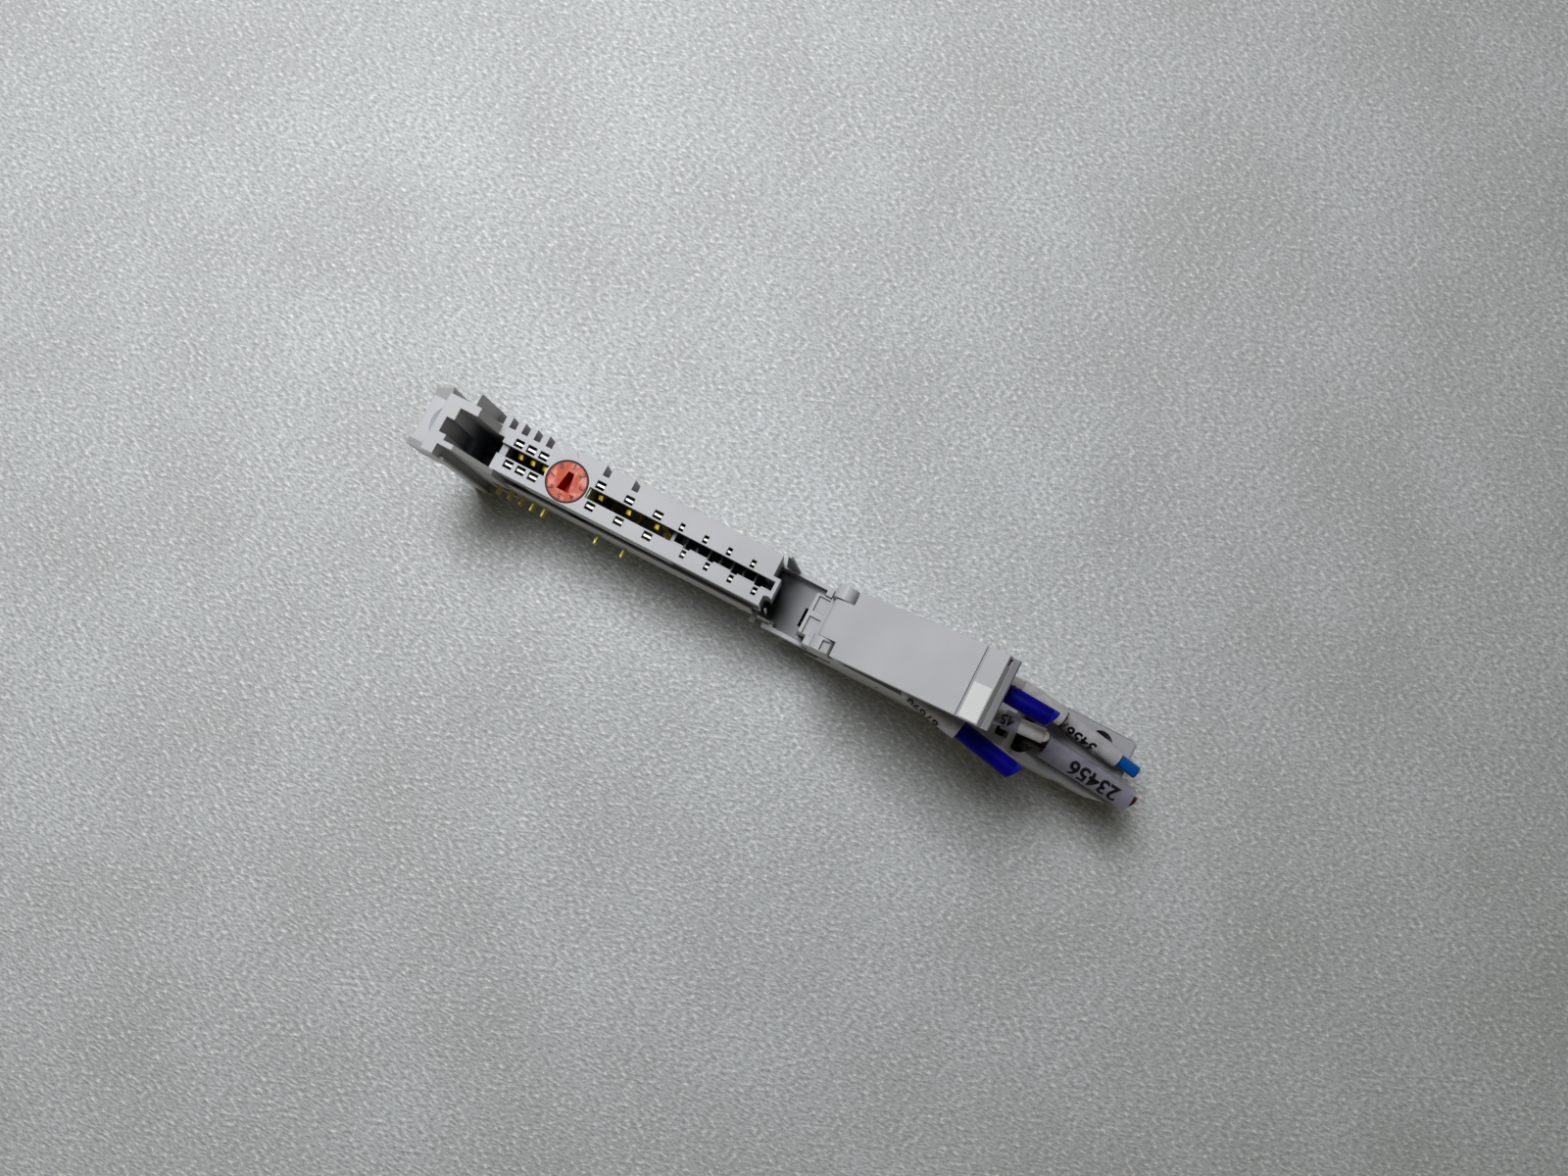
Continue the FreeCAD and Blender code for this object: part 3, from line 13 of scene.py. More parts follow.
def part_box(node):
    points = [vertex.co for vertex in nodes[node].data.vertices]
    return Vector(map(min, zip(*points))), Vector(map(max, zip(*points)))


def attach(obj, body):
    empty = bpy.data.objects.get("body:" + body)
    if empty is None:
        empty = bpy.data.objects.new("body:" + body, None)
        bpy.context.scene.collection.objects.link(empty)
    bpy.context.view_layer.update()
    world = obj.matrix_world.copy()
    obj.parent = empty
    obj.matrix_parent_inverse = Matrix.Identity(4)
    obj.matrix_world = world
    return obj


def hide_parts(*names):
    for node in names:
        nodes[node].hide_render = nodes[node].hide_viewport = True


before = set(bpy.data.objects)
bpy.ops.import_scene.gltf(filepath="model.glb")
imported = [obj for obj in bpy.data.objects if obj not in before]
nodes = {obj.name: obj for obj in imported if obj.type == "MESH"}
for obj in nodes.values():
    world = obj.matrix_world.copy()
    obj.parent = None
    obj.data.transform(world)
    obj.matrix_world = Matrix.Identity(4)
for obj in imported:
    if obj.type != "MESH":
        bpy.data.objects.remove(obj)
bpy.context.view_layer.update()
MM = 0.001
UP = Vector((0, 0, 1))

# Camera, from the fit of the photograph
CAMERA_AT = Vector((0.0420, -0.0180, 0.2210))
CAMERA_LOOK = Vector((0.03309, 0.00120, 0.0200))
CAMERA_ROLL = 27.42
CAMERA_LENS = 27.0
CAMERA_SENSOR = 36.0
CAMERA_NEAREST = 0.01

# Light: one soft lamp, and a room that is bright at its sides and dark overhead
LAMP_AT, LAMP_LOOK = (-0.115, 0.13, 0.45), (-0.2, 0, 0)
LAMP_SIZE, LAMP_POWER = 0.2, 1.65
ROOM_SIDES, ROOM_OVERHEAD = 0.5, 0.0
ROOM_FADE_FROM, ROOM_FADE_TO = 0.1, 0.6
FLOOR_SIZE = 3.0

# Sizes that the pieces below share with the model
DIAL_LOW, DIAL_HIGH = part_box("key_dial")
FACE_Z = DIAL_HIGH.z
DIAL_MIDDLE = (DIAL_LOW + DIAL_HIGH) / 2
DIAL_R = (DIAL_HIGH.x - DIAL_LOW.x) / 2
FOOT_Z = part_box("base_housing")[0].z
BLOCK_LOW, BLOCK_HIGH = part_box("block_housing")
PROUD = 0.02 * MM

# Low deck of the wiring block, its level read from the points near its end, and painted shade along its
# edges
DECK_END, DECK_SIDE = BLOCK_HIGH.x, BLOCK_HIGH.y
DECK_STRIP = 3 * MM
DECK_Z = max(v.co.z for v in nodes["block_housing"].data.vertices if v.co.x > DECK_END - DECK_STRIP)
DECK_REACH, DECK_FADE = 0.3 * MM, 0.2 * MM
END_BAND, SIDE_BAND, BAND_FULL = 0.5 * MM, 0.4 * MM, 0.1 * MM
DECK_TONE, EDGE_TONE = 0.18, 0.5

# Hollows with painted shade, in millimetres: low corner, high corner and the fade at their sides
RECESS_LENGTH = 8.0
RECESS_X1 = BLOCK_LOW.x / MM
RECESS_X0 = RECESS_X1 - RECESS_LENGTH
RECESS = ((RECESS_X0, -5.1, 5.0), (RECESS_X1 + 0.3, 5.1, 15.0), (0.4, 0.3, 4.0))
POCKET = ((-27.7, -3.85, 4.0), (-15.3, 2.35, 19.0), (0.3, 0.2, 4.0))
PAINTED_SHADE_TONE = 0.1
# Painted shade in the recess thins from this far past its inner corner to a least share at the block
RECESS_CORNER, RECESS_LEAST = 2.0, 0.4

# Handle as it leans at rest, and the painted shade on the lip past its length
HANDLE_PIVOT = Vector((43.2, 0, 23.1)) * MM
HANDLE_LEAN = math.radians(31)
HANDLE_LENGTH = 31.7 * MM
LIP_FROM, LIP_TO = 0.02 * MM, 0.15 * MM
LIP_TONE = 0.55

# Heights on a contact where its plating changes: gold below, tin at the top, and near-black painted shade
# between them inside the slot
SLOT_SHADE_Z = FACE_Z - 4.1 * MM
TIN_Z = FACE_Z - 1.0 * MM
PLATING_FADE = 0.3 * MM

# Round scoop of the finger grip, with its turns in degrees, and the end post that it meets
SCOOP_MIDDLE = Vector((-29.55, -0.755, 0)) * MM
SCOOP_WIDE, SCOOP_NARROW = 4.08 * MM, 1.6 * MM
SCOOP_TOP, SCOOP_LOW = 23.55 * MM, 22.21 * MM
SCOOP_FROM, SCOOP_TURN = 104, 152
SCOOP_STEPS = 24
POST_X = -30.37 * MM

# Dial: its numbers and their ring as a share of its radius, its dark rim, and levels in its key pocket,
# below which its floor takes painted shade
DIAL_NUMBERS = 8
DIAL_NUMBER_SIZE = 1.5 * MM
DIAL_NUMBER_RING = 0.78
RIM_FROM, RIM_TO = 0.915 * DIAL_R, 0.945 * DIAL_R
KEYWAY_LOW, KEYWAY_HIGH = FACE_Z - 0.5 * MM, FACE_Z - 0.2 * MM

# Stroke that figures are thickened by, as a share of their size
BOLD = 0.026

# Cut ends: the sheared lip of the insulation, and strands as shares of the core they fill
CUT_LIP = 0.35 * MM
STRANDS_ROUND = 6
STRAND_RING, STRAND_R = 0.66, 0.33
STRAND_ROOT, STRAND_UNEVEN = 0.3 * MM, 0.06 * MM

# Sizes of the marks in the finishes
CLOUD, CORNER_REACH = 9 * MM, 5 * MM
MOULD_DEPTH = 0.008 * MM
DIAL_GLARE_PATCH, DIAL_RUB, DIAL_GRAIN = 1.9 * MM, 1.7 * MM, 0.22 * MM
DIAL_DEPTH, DIAL_ROUND = 0.02 * MM, 0.1 * MM
DRAWN_MARK, DRAWN_DEPTH, METAL_ROUND = 0.4 * MM, 0.004 * MM, 0.06 * MM
SCUFF, SCUFF_DEPTH = 1.6 * MM, 0.02 * MM
THIN_INK = 0.3 * MM
TUBE_ROUND = 0.08 * MM
FOAM_CELL, FOAM_PATCH, FOAM_DEPTH = 0.55 * MM, 30 * MM, 0.35 * MM


def srgb(red, green, blue):
    """Linear colour from the 0 to 255 values that a picture holds."""
    values = [c / 255 for c in (red, green, blue)]
    linear = [v / 12.92 if v <= 0.04045 else ((v + 0.055) / 1.055) ** 2.4 for v in values]
    return (*linear, 1.0)


def shade(colour, share):
    """The colour made darker or lighter by a share."""
    return (*(min(1.0, c * share) for c in colour[:3]), 1.0)


# Colours
GREY = srgb(197, 200, 206)
DIAL_RED = srgb(214, 104, 84)
DIAL_STREAK = srgb(206, 84, 26)
DIAL_GLARE = srgb(240, 158, 146)
KEYWAY_SHADE_RED = srgb(208, 30, 24)
DIAL_EDGE = srgb(104, 30, 30)
DIAL_INK = srgb(104, 26, 20)
CREAM = srgb(255, 250, 226)
SCREW_GREY = srgb(120, 120, 122)
GOLD = srgb(255, 236, 140)
TIN = srgb(172, 171, 167)
# Tin made near black: painted shade on contacts inside the slots
SLOT_SHADE = shade(TIN, 0.12)
STEEL = srgb(180, 180, 184)
COPPER = srgb(206, 132, 100)
DARK_BLUE = srgb(0, 0, 128)
LIGHT_BLUE = srgb(8, 96, 178)
DARK_RED = srgb(16, 7, 9)
TIP_RED = srgb(132, 22, 34)
WHITE = srgb(208, 205, 206)
TIP_WHITE_AND_HIGHLIGHT = srgb(252, 251, 248)
CUT_BLUE_AND_HIGHLIGHT = srgb(16, 32, 158)
WIRE_GREY = srgb(160, 156, 156)
TUBE = srgb(184, 184, 190)
CLEAR = srgb(172, 172, 190)
LABEL = srgb(232, 236, 238)
INK = srgb(10, 10, 14)
SHEET = srgb(222, 228, 232)
SHEET_DARK = srgb(205, 209, 211)
PAINTED_GLINT = srgb(255, 255, 255)
INDEX_GREY = srgb(150, 152, 160)
SCRATCH_HIGHLIGHT_GREY = srgb(216, 218, 222)
ROOM = srgb(232, 219, 188)


class Shader:
    """A material with one main shader, and short calls for its other nodes."""

    def __init__(self, name):
        self.material = bpy.data.materials.new(name)
        self.material.use_nodes = True
        self.tree = self.material.node_tree
        self.main = self.tree.nodes["Principled BSDF"]
        self.place = self.add("ShaderNodeTexCoord").outputs["Object"]

    def add(self, kind, **settings):
        node = self.tree.nodes.new(kind)
        for key, value in settings.items():
            setattr(node, key, value)
        return node

    def link(self, output, node, socket):
        self.tree.links.new(output, node.inputs[socket])

    def set(self, **values):
        """Plain values on the main shader's own sockets."""
        for socket, value in values.items():
            self.main.inputs[socket.replace("_", " ")].default_value = value

    def stretched(self, scale, turn=0.0):
        """Place, turned about Z and stretched, for grain that runs one way."""
        node = self.add("ShaderNodeMapping")
        node.inputs["Scale"].default_value = scale
        node.inputs["Rotation"].default_value = (0, 0, turn)
        self.link(self.place, node, "Vector")
        return node.outputs["Vector"]

    def from_axis(self, middle):
        """Distance from the upright axis through a point."""
        apart = self.add("ShaderNodeVectorMath", operation="SUBTRACT")
        apart.inputs[1].default_value = middle
        self.link(self.place, apart, 0)
        level = self.add("ShaderNodeVectorMath", operation="MULTIPLY")
        level.inputs[1].default_value = (1, 1, 0)
        self.link(apart.outputs["Vector"], level, 0)
        length = self.add("ShaderNodeVectorMath", operation="LENGTH")
        self.link(level.outputs["Vector"], length, 0)
        return length.outputs["Value"]

    def along_axis(self, axis):
        """Distance along one axis of the frame."""
        split = self.add("ShaderNodeSeparateXYZ")
        self.link(self.place, split, "Vector")
        return split.outputs[axis]

    def along_line(self, direction):
        """Distance along any direction of the frame."""
        node = self.add("ShaderNodeVectorMath", operation="DOT_PRODUCT")
        node.inputs[1].default_value = direction
        self.link(self.place, node, 0)
        return node.outputs["Value"]

    def combined(self, first, second, operation="MULTIPLY"):
        """Two values put together, multiplied unless another operation is named."""
        node = self.add("ShaderNodeMath", operation=operation)
        self.link(first, node, 0)
        self.link(second, node, 1)
        return node.outputs["Value"]

    def crevices(self, reach):
        """Openness of the surface round a point, lower in corners and hollows."""
        node = self.add("ShaderNodeAmbientOcclusion", samples=8)
        node.inputs["Distance"].default_value = reach
        return node.outputs["AO"]

    def noise(self, size, detail=3.0, roughness=0.5, place=None):
        """Noise whose blobs are about size metres across, from 0 to 1."""
        node = self.add("ShaderNodeTexNoise")
        node.inputs["Scale"].default_value = 1 / size
        node.inputs["Detail"].default_value = detail
        node.inputs["Roughness"].default_value = roughness
        self.link(place or self.place, node, "Vector")
        return node.outputs["Fac"]

    def spread(self, value, low, high, from_low=0.3, from_high=0.7):
        """Value carried over to another range."""
        node = self.add("ShaderNodeMapRange")
        node.inputs["From Min"].default_value = from_low
        node.inputs["From Max"].default_value = from_high
        node.inputs["To Min"].default_value = low
        node.inputs["To Max"].default_value = high
        self.link(value, node, "Value")
        return node.outputs["Result"]

    def blend(self, share, first, second):
        """Mix of two colours, each a value or another node's output."""
        node = self.add("ShaderNodeMix", data_type="RGBA")
        self.link(share, node, "Factor")
        for socket, colour in (("A", first), ("B", second)):
            index = next(i for i, s in enumerate(node.inputs) if s.name == socket and s.type == "RGBA")
            if isinstance(colour, tuple):
                node.inputs[index].default_value = colour
            else:
                self.tree.links.new(colour, node.inputs[index])
        return next(s for s in node.outputs if s.type == "RGBA")

    def colour(self, output):
        self.link(output, self.main, "Base Color")

    def rough(self, output):
        self.link(output, self.main, "Roughness")

    def relief(self, height, depth, edge=0.0):
        """Surface relief from a height, over edges that are rounded by edge metres."""
        bump = self.add("ShaderNodeBump")
        bump.inputs["Distance"].default_value = depth
        self.link(height, bump, "Height")
        if edge:
            bevel = self.add("ShaderNodeBevel", samples=4)
            bevel.inputs["Radius"].default_value = edge
            self.link(bevel.outputs["Normal"], bump, "Normal")
        self.link(bump.outputs["Normal"], self.main, "Normal")


def plastic(name, colour, rough=0.42, edge=0.12 * MM, grain=0.25 * MM, corner_shade=0.7, painted_shade=None):
    """Moulded plastic: faint clouding, painted shade in the corners, fine eroded grain and softly rounded
    edges.

    The last argument makes a share of painted shade from the shader, for a hollow or other place that falls
    in shade.
    """
    shader = Shader(name)
    clouds = shader.noise(CLOUD, detail=4)
    clean = shader.blend(shader.spread(clouds, 0, 1), shade(colour, 0.95), shade(colour, 1.04))
    # Painted shade: corners and hollows, where less light reaches, darken towards a share of the colour
    openness = shader.spread(shader.crevices(CORNER_REACH), 0, 1, 0.2, 0.8)
    base = shader.blend(openness, shade(colour, corner_shade), clean)
    if painted_shade:
        base = shader.blend(painted_shade(shader), base, shade(colour, PAINTED_SHADE_TONE))
    shader.colour(base)
    fine = shader.noise(grain, detail=2)
    shader.rough(shader.spread(fine, rough - 0.06, rough + 0.08))
    shader.relief(fine, MOULD_DEPTH, edge)
    shader.set(Specular_IOR_Level=0.4)
    return shader


def dial_plastic():
    """Salmon plastic of the dial: rubbed orange-brown streaks along the slice's width, pale patches of
    painted glare, painted shade in its key pocket, and a dark rim.
    """
    shader = Shader("dial_plastic")
    # Pale patches: painted glare
    glare_patches = shader.noise(DIAL_GLARE_PATCH, detail=4)
    base = shader.blend(shader.spread(glare_patches, 0, 1, 0.46, 0.58), DIAL_RED, DIAL_GLARE)
    streaks = shader.noise(DIAL_RUB, detail=5, place=shader.stretched((1.5, 0.5, 1), turn=0.2))
    base = shader.blend(shader.spread(streaks, 0, 1, 0.5, 0.6), base, DIAL_STREAK)
    fine = shader.noise(DIAL_GRAIN, detail=3)
    # Painted shade: the key pocket's floor, below the keyway levels, in a deeper red
    keyway_shade = shader.spread(shader.along_axis("Z"), 1, 0, KEYWAY_LOW, KEYWAY_HIGH)
    base = shader.blend(keyway_shade, base, KEYWAY_SHADE_RED)
    rim = shader.spread(shader.from_axis(DIAL_MIDDLE), 0, 1, RIM_FROM, RIM_TO)
    shader.colour(shader.blend(rim, base, DIAL_EDGE))
    shader.rough(shader.spread(fine, 0.4, 0.62))
    shader.relief(fine, DIAL_DEPTH, DIAL_ROUND)
    return shader


def metal(name, colour, rough=0.28, bands=(), sheen=1.0):
    """Bright sheet metal with faint drawn marks, and other colours above the heights of the bands, for
    platings and for painted shade.
    """
    shader = Shader(name)
    marks = shader.noise(DRAWN_MARK, detail=3)
    base = shader.blend(shader.spread(marks, 0, 1), shade(colour, 0.9), shade(colour, 1.06))
    level = shader.along_axis("Z")
    for height, plating in bands:
        above = shader.spread(level, 0, 1, height, height + PLATING_FADE)
        base = shader.blend(above, base, plating)
    shader.colour(base)
    shader.rough(shader.spread(marks, rough - 0.05, rough + 0.08))
    shader.relief(marks, DRAWN_DEPTH, METAL_ROUND)
    shader.set(Metallic=sheen)
    return shader


def insulation(name, colour, rough=0.34, edge=0.3 * MM, alpha=1.0, gloss=0.35):
    """Wire insulation or marker tube: soft plastic with faint scuffs, see-through if alpha is under 1."""
    shader = Shader(name)
    scuffs = shader.noise(SCUFF, detail=5)
    shader.colour(shader.blend(shader.spread(scuffs, 0, 1), shade(colour, 0.86), shade(colour, 1.1)))
    shader.rough(shader.spread(scuffs, rough - 0.06, rough + 0.1))
    shader.relief(scuffs, SCUFF_DEPTH, edge)
    shader.set(Alpha=alpha, Specular_IOR_Level=gloss)
    return shader


def ink(name, colour):
    """Printed or painted mark, thin in places."""
    shader = Shader(name)
    thin = shader.noise(THIN_INK, detail=3)
    shader.colour(shader.blend(shader.spread(thin, 0, 1), colour, shade(colour, 1.5)))
    shader.rough(shader.spread(thin, 0.4, 0.6))
    return shader


def wear(node, shader):
    """Gives a model node its material."""
    slots = nodes[node].data.materials
    slots.clear()
    slots.append(shader.material)


def rides(piece, body):
    """Puts a piece on a body."""
    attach(piece, body)
    return piece


def mesh_piece(name, points, faces, shader):
    """New object from points and faces."""
    mesh = bpy.data.meshes.new(name)
    mesh.from_pydata([tuple(p) for p in points], [], faces)
    mesh.materials.append(shader.material)
    mesh.validate()
    piece = bpy.data.objects.new(name, mesh)
    bpy.context.scene.collection.objects.link(piece)
    return piece


def smooth(piece, angle=40.0):
    """Smooth shading, broken at sharp edges."""
    for face in piece.data.polygons:
        face.use_smooth = True
    piece.data.set_sharp_from_angle(angle=math.radians(angle))
    return piece


# Painted shade that some finishes take
def span(shader, axis, start, end, fade):
    """Share that is 1 between two places on an axis, and fades to 0 at both."""
    place = shader.along_axis(axis)
    rising = shader.spread(place, 0, 1, start, start + fade)
    falling = shader.spread(place, 1, 0, end - fade, end)
    return shader.combined(rising, falling)


def shade_in_box(shader, low, high, soft):
    """Share of painted shade inside a box given in millimetres, fading over soft at its sides."""
    spans = [
        span(shader, axis, start * MM, end * MM, fade * MM)
        for axis, start, end, fade in zip("XYZ", low, high, soft)
    ]
    return shader.combined(shader.combined(spans[0], spans[1]), spans[2])


def hollow_painted_shade(shader):
    """Share of painted shade in the recess beside the block, most in its inner corner, and in the tower's
    pocket.
    """
    corner = (RECESS_X0 + RECESS_CORNER) * MM
    fading = shader.spread(shader.along_axis("X"), 1, RECESS_LEAST, corner, RECESS_X1 * MM)
    recess = shader.combined(shade_in_box(shader, *RECESS), fading)
    return shader.combined(recess, shade_in_box(shader, *POCKET), "MAXIMUM")


def lip_shade(shader):
    """Share of painted shade on the handle's end lip beyond its last band."""
    along = Vector((math.cos(HANDLE_LEAN), 0, math.sin(HANDLE_LEAN)))
    end = along.dot(HANDLE_PIVOT) + HANDLE_LENGTH
    return shader.spread(shader.along_line(along), 0, LIP_TONE, end + LIP_FROM, end + LIP_TO)


def deck_shade(shader):
    """Share of painted shade on the low deck that the wires lie over, most along its end and its far edge.
    """
    level = span(shader, "Z", DECK_Z - DECK_REACH, DECK_Z + DECK_REACH, DECK_FADE)
    end_from, end_to = DECK_END - END_BAND, DECK_END - BAND_FULL
    end = shader.spread(shader.along_axis("X"), DECK_TONE, EDGE_TONE, end_from, end_to)
    side_from, side_to = DECK_SIDE - SIDE_BAND, DECK_SIDE - BAND_FULL
    side = shader.spread(shader.along_axis("Y"), 0, EDGE_TONE, side_from, side_to)
    return shader.combined(shader.combined(end, side, "MAXIMUM"), level)


# Materials of the model's own nodes
housing = plastic("housing_plastic", GREY)
for name in ("side_cover", "block_floor", "din_latch"):
    wear(name, housing)
wear("base_housing", plastic("base_plastic", GREY, painted_shade=hollow_painted_shade))
wear("block_housing", plastic("block_plastic", GREY, painted_shade=deck_shade))
wear("block_handle", plastic("handle_plastic", GREY, painted_shade=lip_shade))
wear("key_dial", dial_plastic())
wear("dial_seat", plastic("seat_plastic", CREAM, corner_shade=1.0))
wear("lock_screw", plastic("screw_plastic", SCREW_GREY))
wear("marker_label", plastic("label_paper", LABEL, rough=0.3, edge=0))
contact_bands = ((SLOT_SHADE_Z, SLOT_SHADE), (TIN_Z, TIN))
contact = metal("contact_plating", GOLD, rough=0.36, bands=contact_bands, sheen=0.8)
# Signal contacts: painted shade below their tin tops
signal = metal("signal_plating", SLOT_SHADE, rough=0.42, bands=((TIN_Z, TIN),))
clamp = metal("clamp_steel", STEEL)
copper = metal("copper_strands", COPPER)
for name in nodes:
    if "_contact" in name:
        wear(name, signal if name.startswith("signal") else contact)
    if name.startswith("clamp_"):
        wear(name, clamp)
    if name.startswith("core_"):
        wear(name, copper)
wire_finish = {
    "1_near": insulation("dark_blue_insulation", DARK_BLUE, rough=0.5, gloss=0.15),
    "2_near": insulation("white_insulation", WHITE),
    "2_far": insulation("grey_insulation", WIRE_GREY),
    "3_near": insulation("dark_red_insulation", DARK_RED),
    "3_far": insulation("light_blue_insulation", LIGHT_BLUE),
}
wire_finish["1_far"] = wire_finish["1_near"]
white_tube = insulation("white_tube", TUBE, rough=0.28, edge=TUBE_ROUND)
clear_tube = insulation("clear_tube", CLEAR, rough=0.2, edge=TUBE_ROUND, alpha=0.55)
tube_finish = {"2_near": clear_tube, "2_far": white_tube, "3_near": clear_tube, "3_far": white_tube}
for name, finish in wire_finish.items():
    wear(f"wire_{name}", finish)
for name, finish in tube_finish.items():
    wear(f"sleeve_{name}", finish)
wear("sleeve_1_near", white_tube)
black_ink = ink("marker_ink", INK)


# Shapes along a wire
def across(along):
    """Two directions square to a wire: the first to the slice's far side, the second upwards."""
    side = UP.cross(along).normalized()
    return side, along.cross(side)


def lathe(name, place, along, profile, shader, sides=24, slant=0.0, capped=True):
    """Turned shape from (radius, distance) steps along a wire, its steps slanted as a cutter leaves them."""
    side, rise = across(along)
    points, faces = [], []
    for radius, distance in profile:
        for i in range(sides):
            turn = 2 * math.pi * i / sides
            out = side * math.cos(turn) + rise * math.sin(turn)
            lean = slant * radius * math.cos(turn) if distance > 0 else 0.0
            points.append(place + along * (distance + lean) + out * radius)
    for ring in range(len(profile) - 1):
        for i in range(sides):
            j = (i + 1) % sides
            low, high = ring * sides, (ring + 1) * sides
            faces.append((low + i, low + j, high + j, high + i))
    if capped:
        faces.append(tuple(range((len(profile) - 1) * sides, len(profile) * sides)))
    return smooth(mesh_piece(name, points, faces, shader))


def strands(name, place, along, radius, out, slant):
    """Copper strands at a cut end: one in the middle and six round it, cut to uneven lengths."""
    side, rise = across(along)
    parts = []
    thin = STRAND_R * radius
    for i in range(1 + STRANDS_ROUND):
        turn = 2 * math.pi / STRANDS_ROUND * i
        reach = STRAND_RING * radius if i else 0.0
        offset = side * (reach * math.cos(turn)) + rise * (reach * math.sin(turn))
        lean = slant * reach * math.cos(turn)
        length = out + lean + STRAND_UNEVEN * ((i * 3) % 4)
        profile = [
            (thin, -STRAND_ROOT),
            (thin, length - 0.3 * thin),
            (0.7 * thin, length - 0.05 * thin),
            (0.25 * thin, length),
        ]
        parts.append(lathe(f"{name}_{i}", place + offset, along, profile, copper, sides=10))
    return parts


def cut_end(name, place, along, radius, core, finish, slant, past):
    """End of a wire as a cutter leaves it: insulation sheared at a slant, with the strands just inside."""
    lip = CUT_LIP
    sides = [(radius, 0.0), (radius, past - lip)]
    skin = lathe(f"cut_skin_{name}", place, along, sides, finish, slant=slant, capped=False)
    profile = [
        (radius, past - lip),
        (radius - 0.3 * lip, past - 0.3 * lip),
        (radius - lip, past),
        (core + 0.4 * lip, past),
        (core, past - 0.4 * lip),
        (core, past - 1.6 * lip),
    ]
    rim = lathe(f"cut_rim_{name}", place, along, profile, finish, slant=slant)
    return [skin, rim] + strands(f"strand_{name}", place, along, core, past - 0.5 * lip, slant)


def text_mesh(name, text, size, shader, place_at):
    """Flat figures laid on a surface: place_at turns a flat (x, y) of the text into a point."""
    data = bpy.data.curves.new(name, "FONT")
    data.body = text
    data.size = size
    data.offset = BOLD * size
    data.align_x = "CENTER"
    data.align_y = "CENTER"
    data.resolution_u = 4
    flat = bpy.data.objects.new(name + "_flat", data)
    mesh = bpy.data.meshes.new_from_object(flat)
    bpy.data.objects.remove(flat)
    work = bmesh.new()
    work.from_mesh(mesh)
    bmesh.ops.triangulate(work, faces=work.faces)
    bmesh.ops.subdivide_edges(work, edges=work.edges, cuts=2, use_grid_fill=True)
    for vertex in work.verts:
        vertex.co = place_at(vertex.co.x, vertex.co.y)
    bmesh.ops.recalc_face_normals(work, faces=work.faces)
    work.to_mesh(mesh)
    work.free()
    mesh.materials.clear()
    mesh.materials.append(shader.material)
    mesh.name = name
    piece = bpy.data.objects.new(name, mesh)
    bpy.context.scene.collection.objects.link(piece)
    return piece


def dial_number(place):
    """One number of the dial, upright towards the rim."""
    turn = math.pi / 2 - 2 * math.pi * place / DIAL_NUMBERS
    outward = Vector((math.cos(turn), math.sin(turn), 0))
    sideways = Vector((outward.y, -outward.x, 0))
    centre = Vector((DIAL_MIDDLE.x, DIAL_MIDDLE.y, FACE_Z + PROUD))
    middle = centre + outward * (DIAL_NUMBER_RING * DIAL_R)

    def on_dial(x, y):
        return middle + sideways * x + outward * y

    text = str(place + 1)
    piece = text_mesh(f"dial_number_{text}", text, DIAL_NUMBER_SIZE, dial_ink, on_dial)
    rides(piece, "dial")


dial_ink = ink("dial_ink", DIAL_INK)
for place in range(DIAL_NUMBERS):
    dial_number(place)


def face_line(name, start, end, width, shader):
    """Thin mark on the module face, tapered to its end."""
    start, end = Vector((*start, 0)) * MM, Vector((*end, 0)) * MM
    level = UP * (FACE_Z + PROUD / 2)
    side = UP.cross(end - start).normalized() * (width / 2)
    points = [start + side + level, start - side + level, end - side / 3 + level, end + side / 3 + level]
    rides(mesh_piece(name, points, [(0, 1, 2, 3)], shader), "base")


face_line("index_line", (-9.29, 5.7), (-8.4, 4.4), 0.16 * MM, plastic("index_line", INDEX_GREY))
# A lighter streak: a scratch on the face, painted as the highlight it catches
face_line("face_scratch_highlight", (-13.1, 5.75), (-11.1, 4.3), 0.5 * MM, plastic("face_scratch_highlight", SCRATCH_HIGHLIGHT_GREY))

# Free wires, along the routes of their solids
WIRE_R, CORE_R = 1.6 * MM, 0.85 * MM
ROUTES = {
    "1_near": [
        (56.4, -2.9, 18),
        (57.0, -3.0, 23.6),
        (60.2, -5.1, 28.3),
        (71.0, -7.4, 29.2),
        (80.5, -9.3, 29.4),
    ],
    "1_far": [
        (56.4, 2.9, 18),
        (57.0, 2.8, 23.8),
        (61.0, 2.2, 29.2),
        (71.5, 1.4, 32.8),
        (81.8, 0.8, 33.2),
    ],
}
CORD_SLANT = {"1_near": 0.42, "1_far": 0.36}
SHEARED = {"1_near": 0.9 * MM, "1_far": 1.2 * MM}
SLEEVE_FROM, SLEEVE_TO = 59.5 * MM, 69.6 * MM
SLEEVE_BORE = WIRE_R + 0.08 * MM
SLEEVE_OUT = SLEEVE_BORE + 0.3 * MM
CUT_PAST = 0.75 * MM
CORD_FIGURES, CORD_FIGURE_SIZE = "67890", 2.6 * MM
CORD_FIGURE_TURN = math.radians(158)


def route_curve(name, points, radius):
    """Curve of one smooth spline, with a route in millimetres as its control points."""
    data = bpy.data.curves.new(name, "CURVE")
    data.dimensions = "3D"
    data.resolution_u = 32
    data.bevel_depth = radius
    data.bevel_resolution = 6
    data.use_fill_caps = True
    spline = data.splines.new("NURBS")
    spline.points.add(len(points) - 1)
    for point, place in zip(spline.points, points):
        point.co = (*(c * MM for c in place), 1.0)
    spline.order_u = 3
    spline.use_endpoint_u = True
    piece = bpy.data.objects.new(name, data)
    bpy.context.scene.collection.objects.link(piece)
    return piece


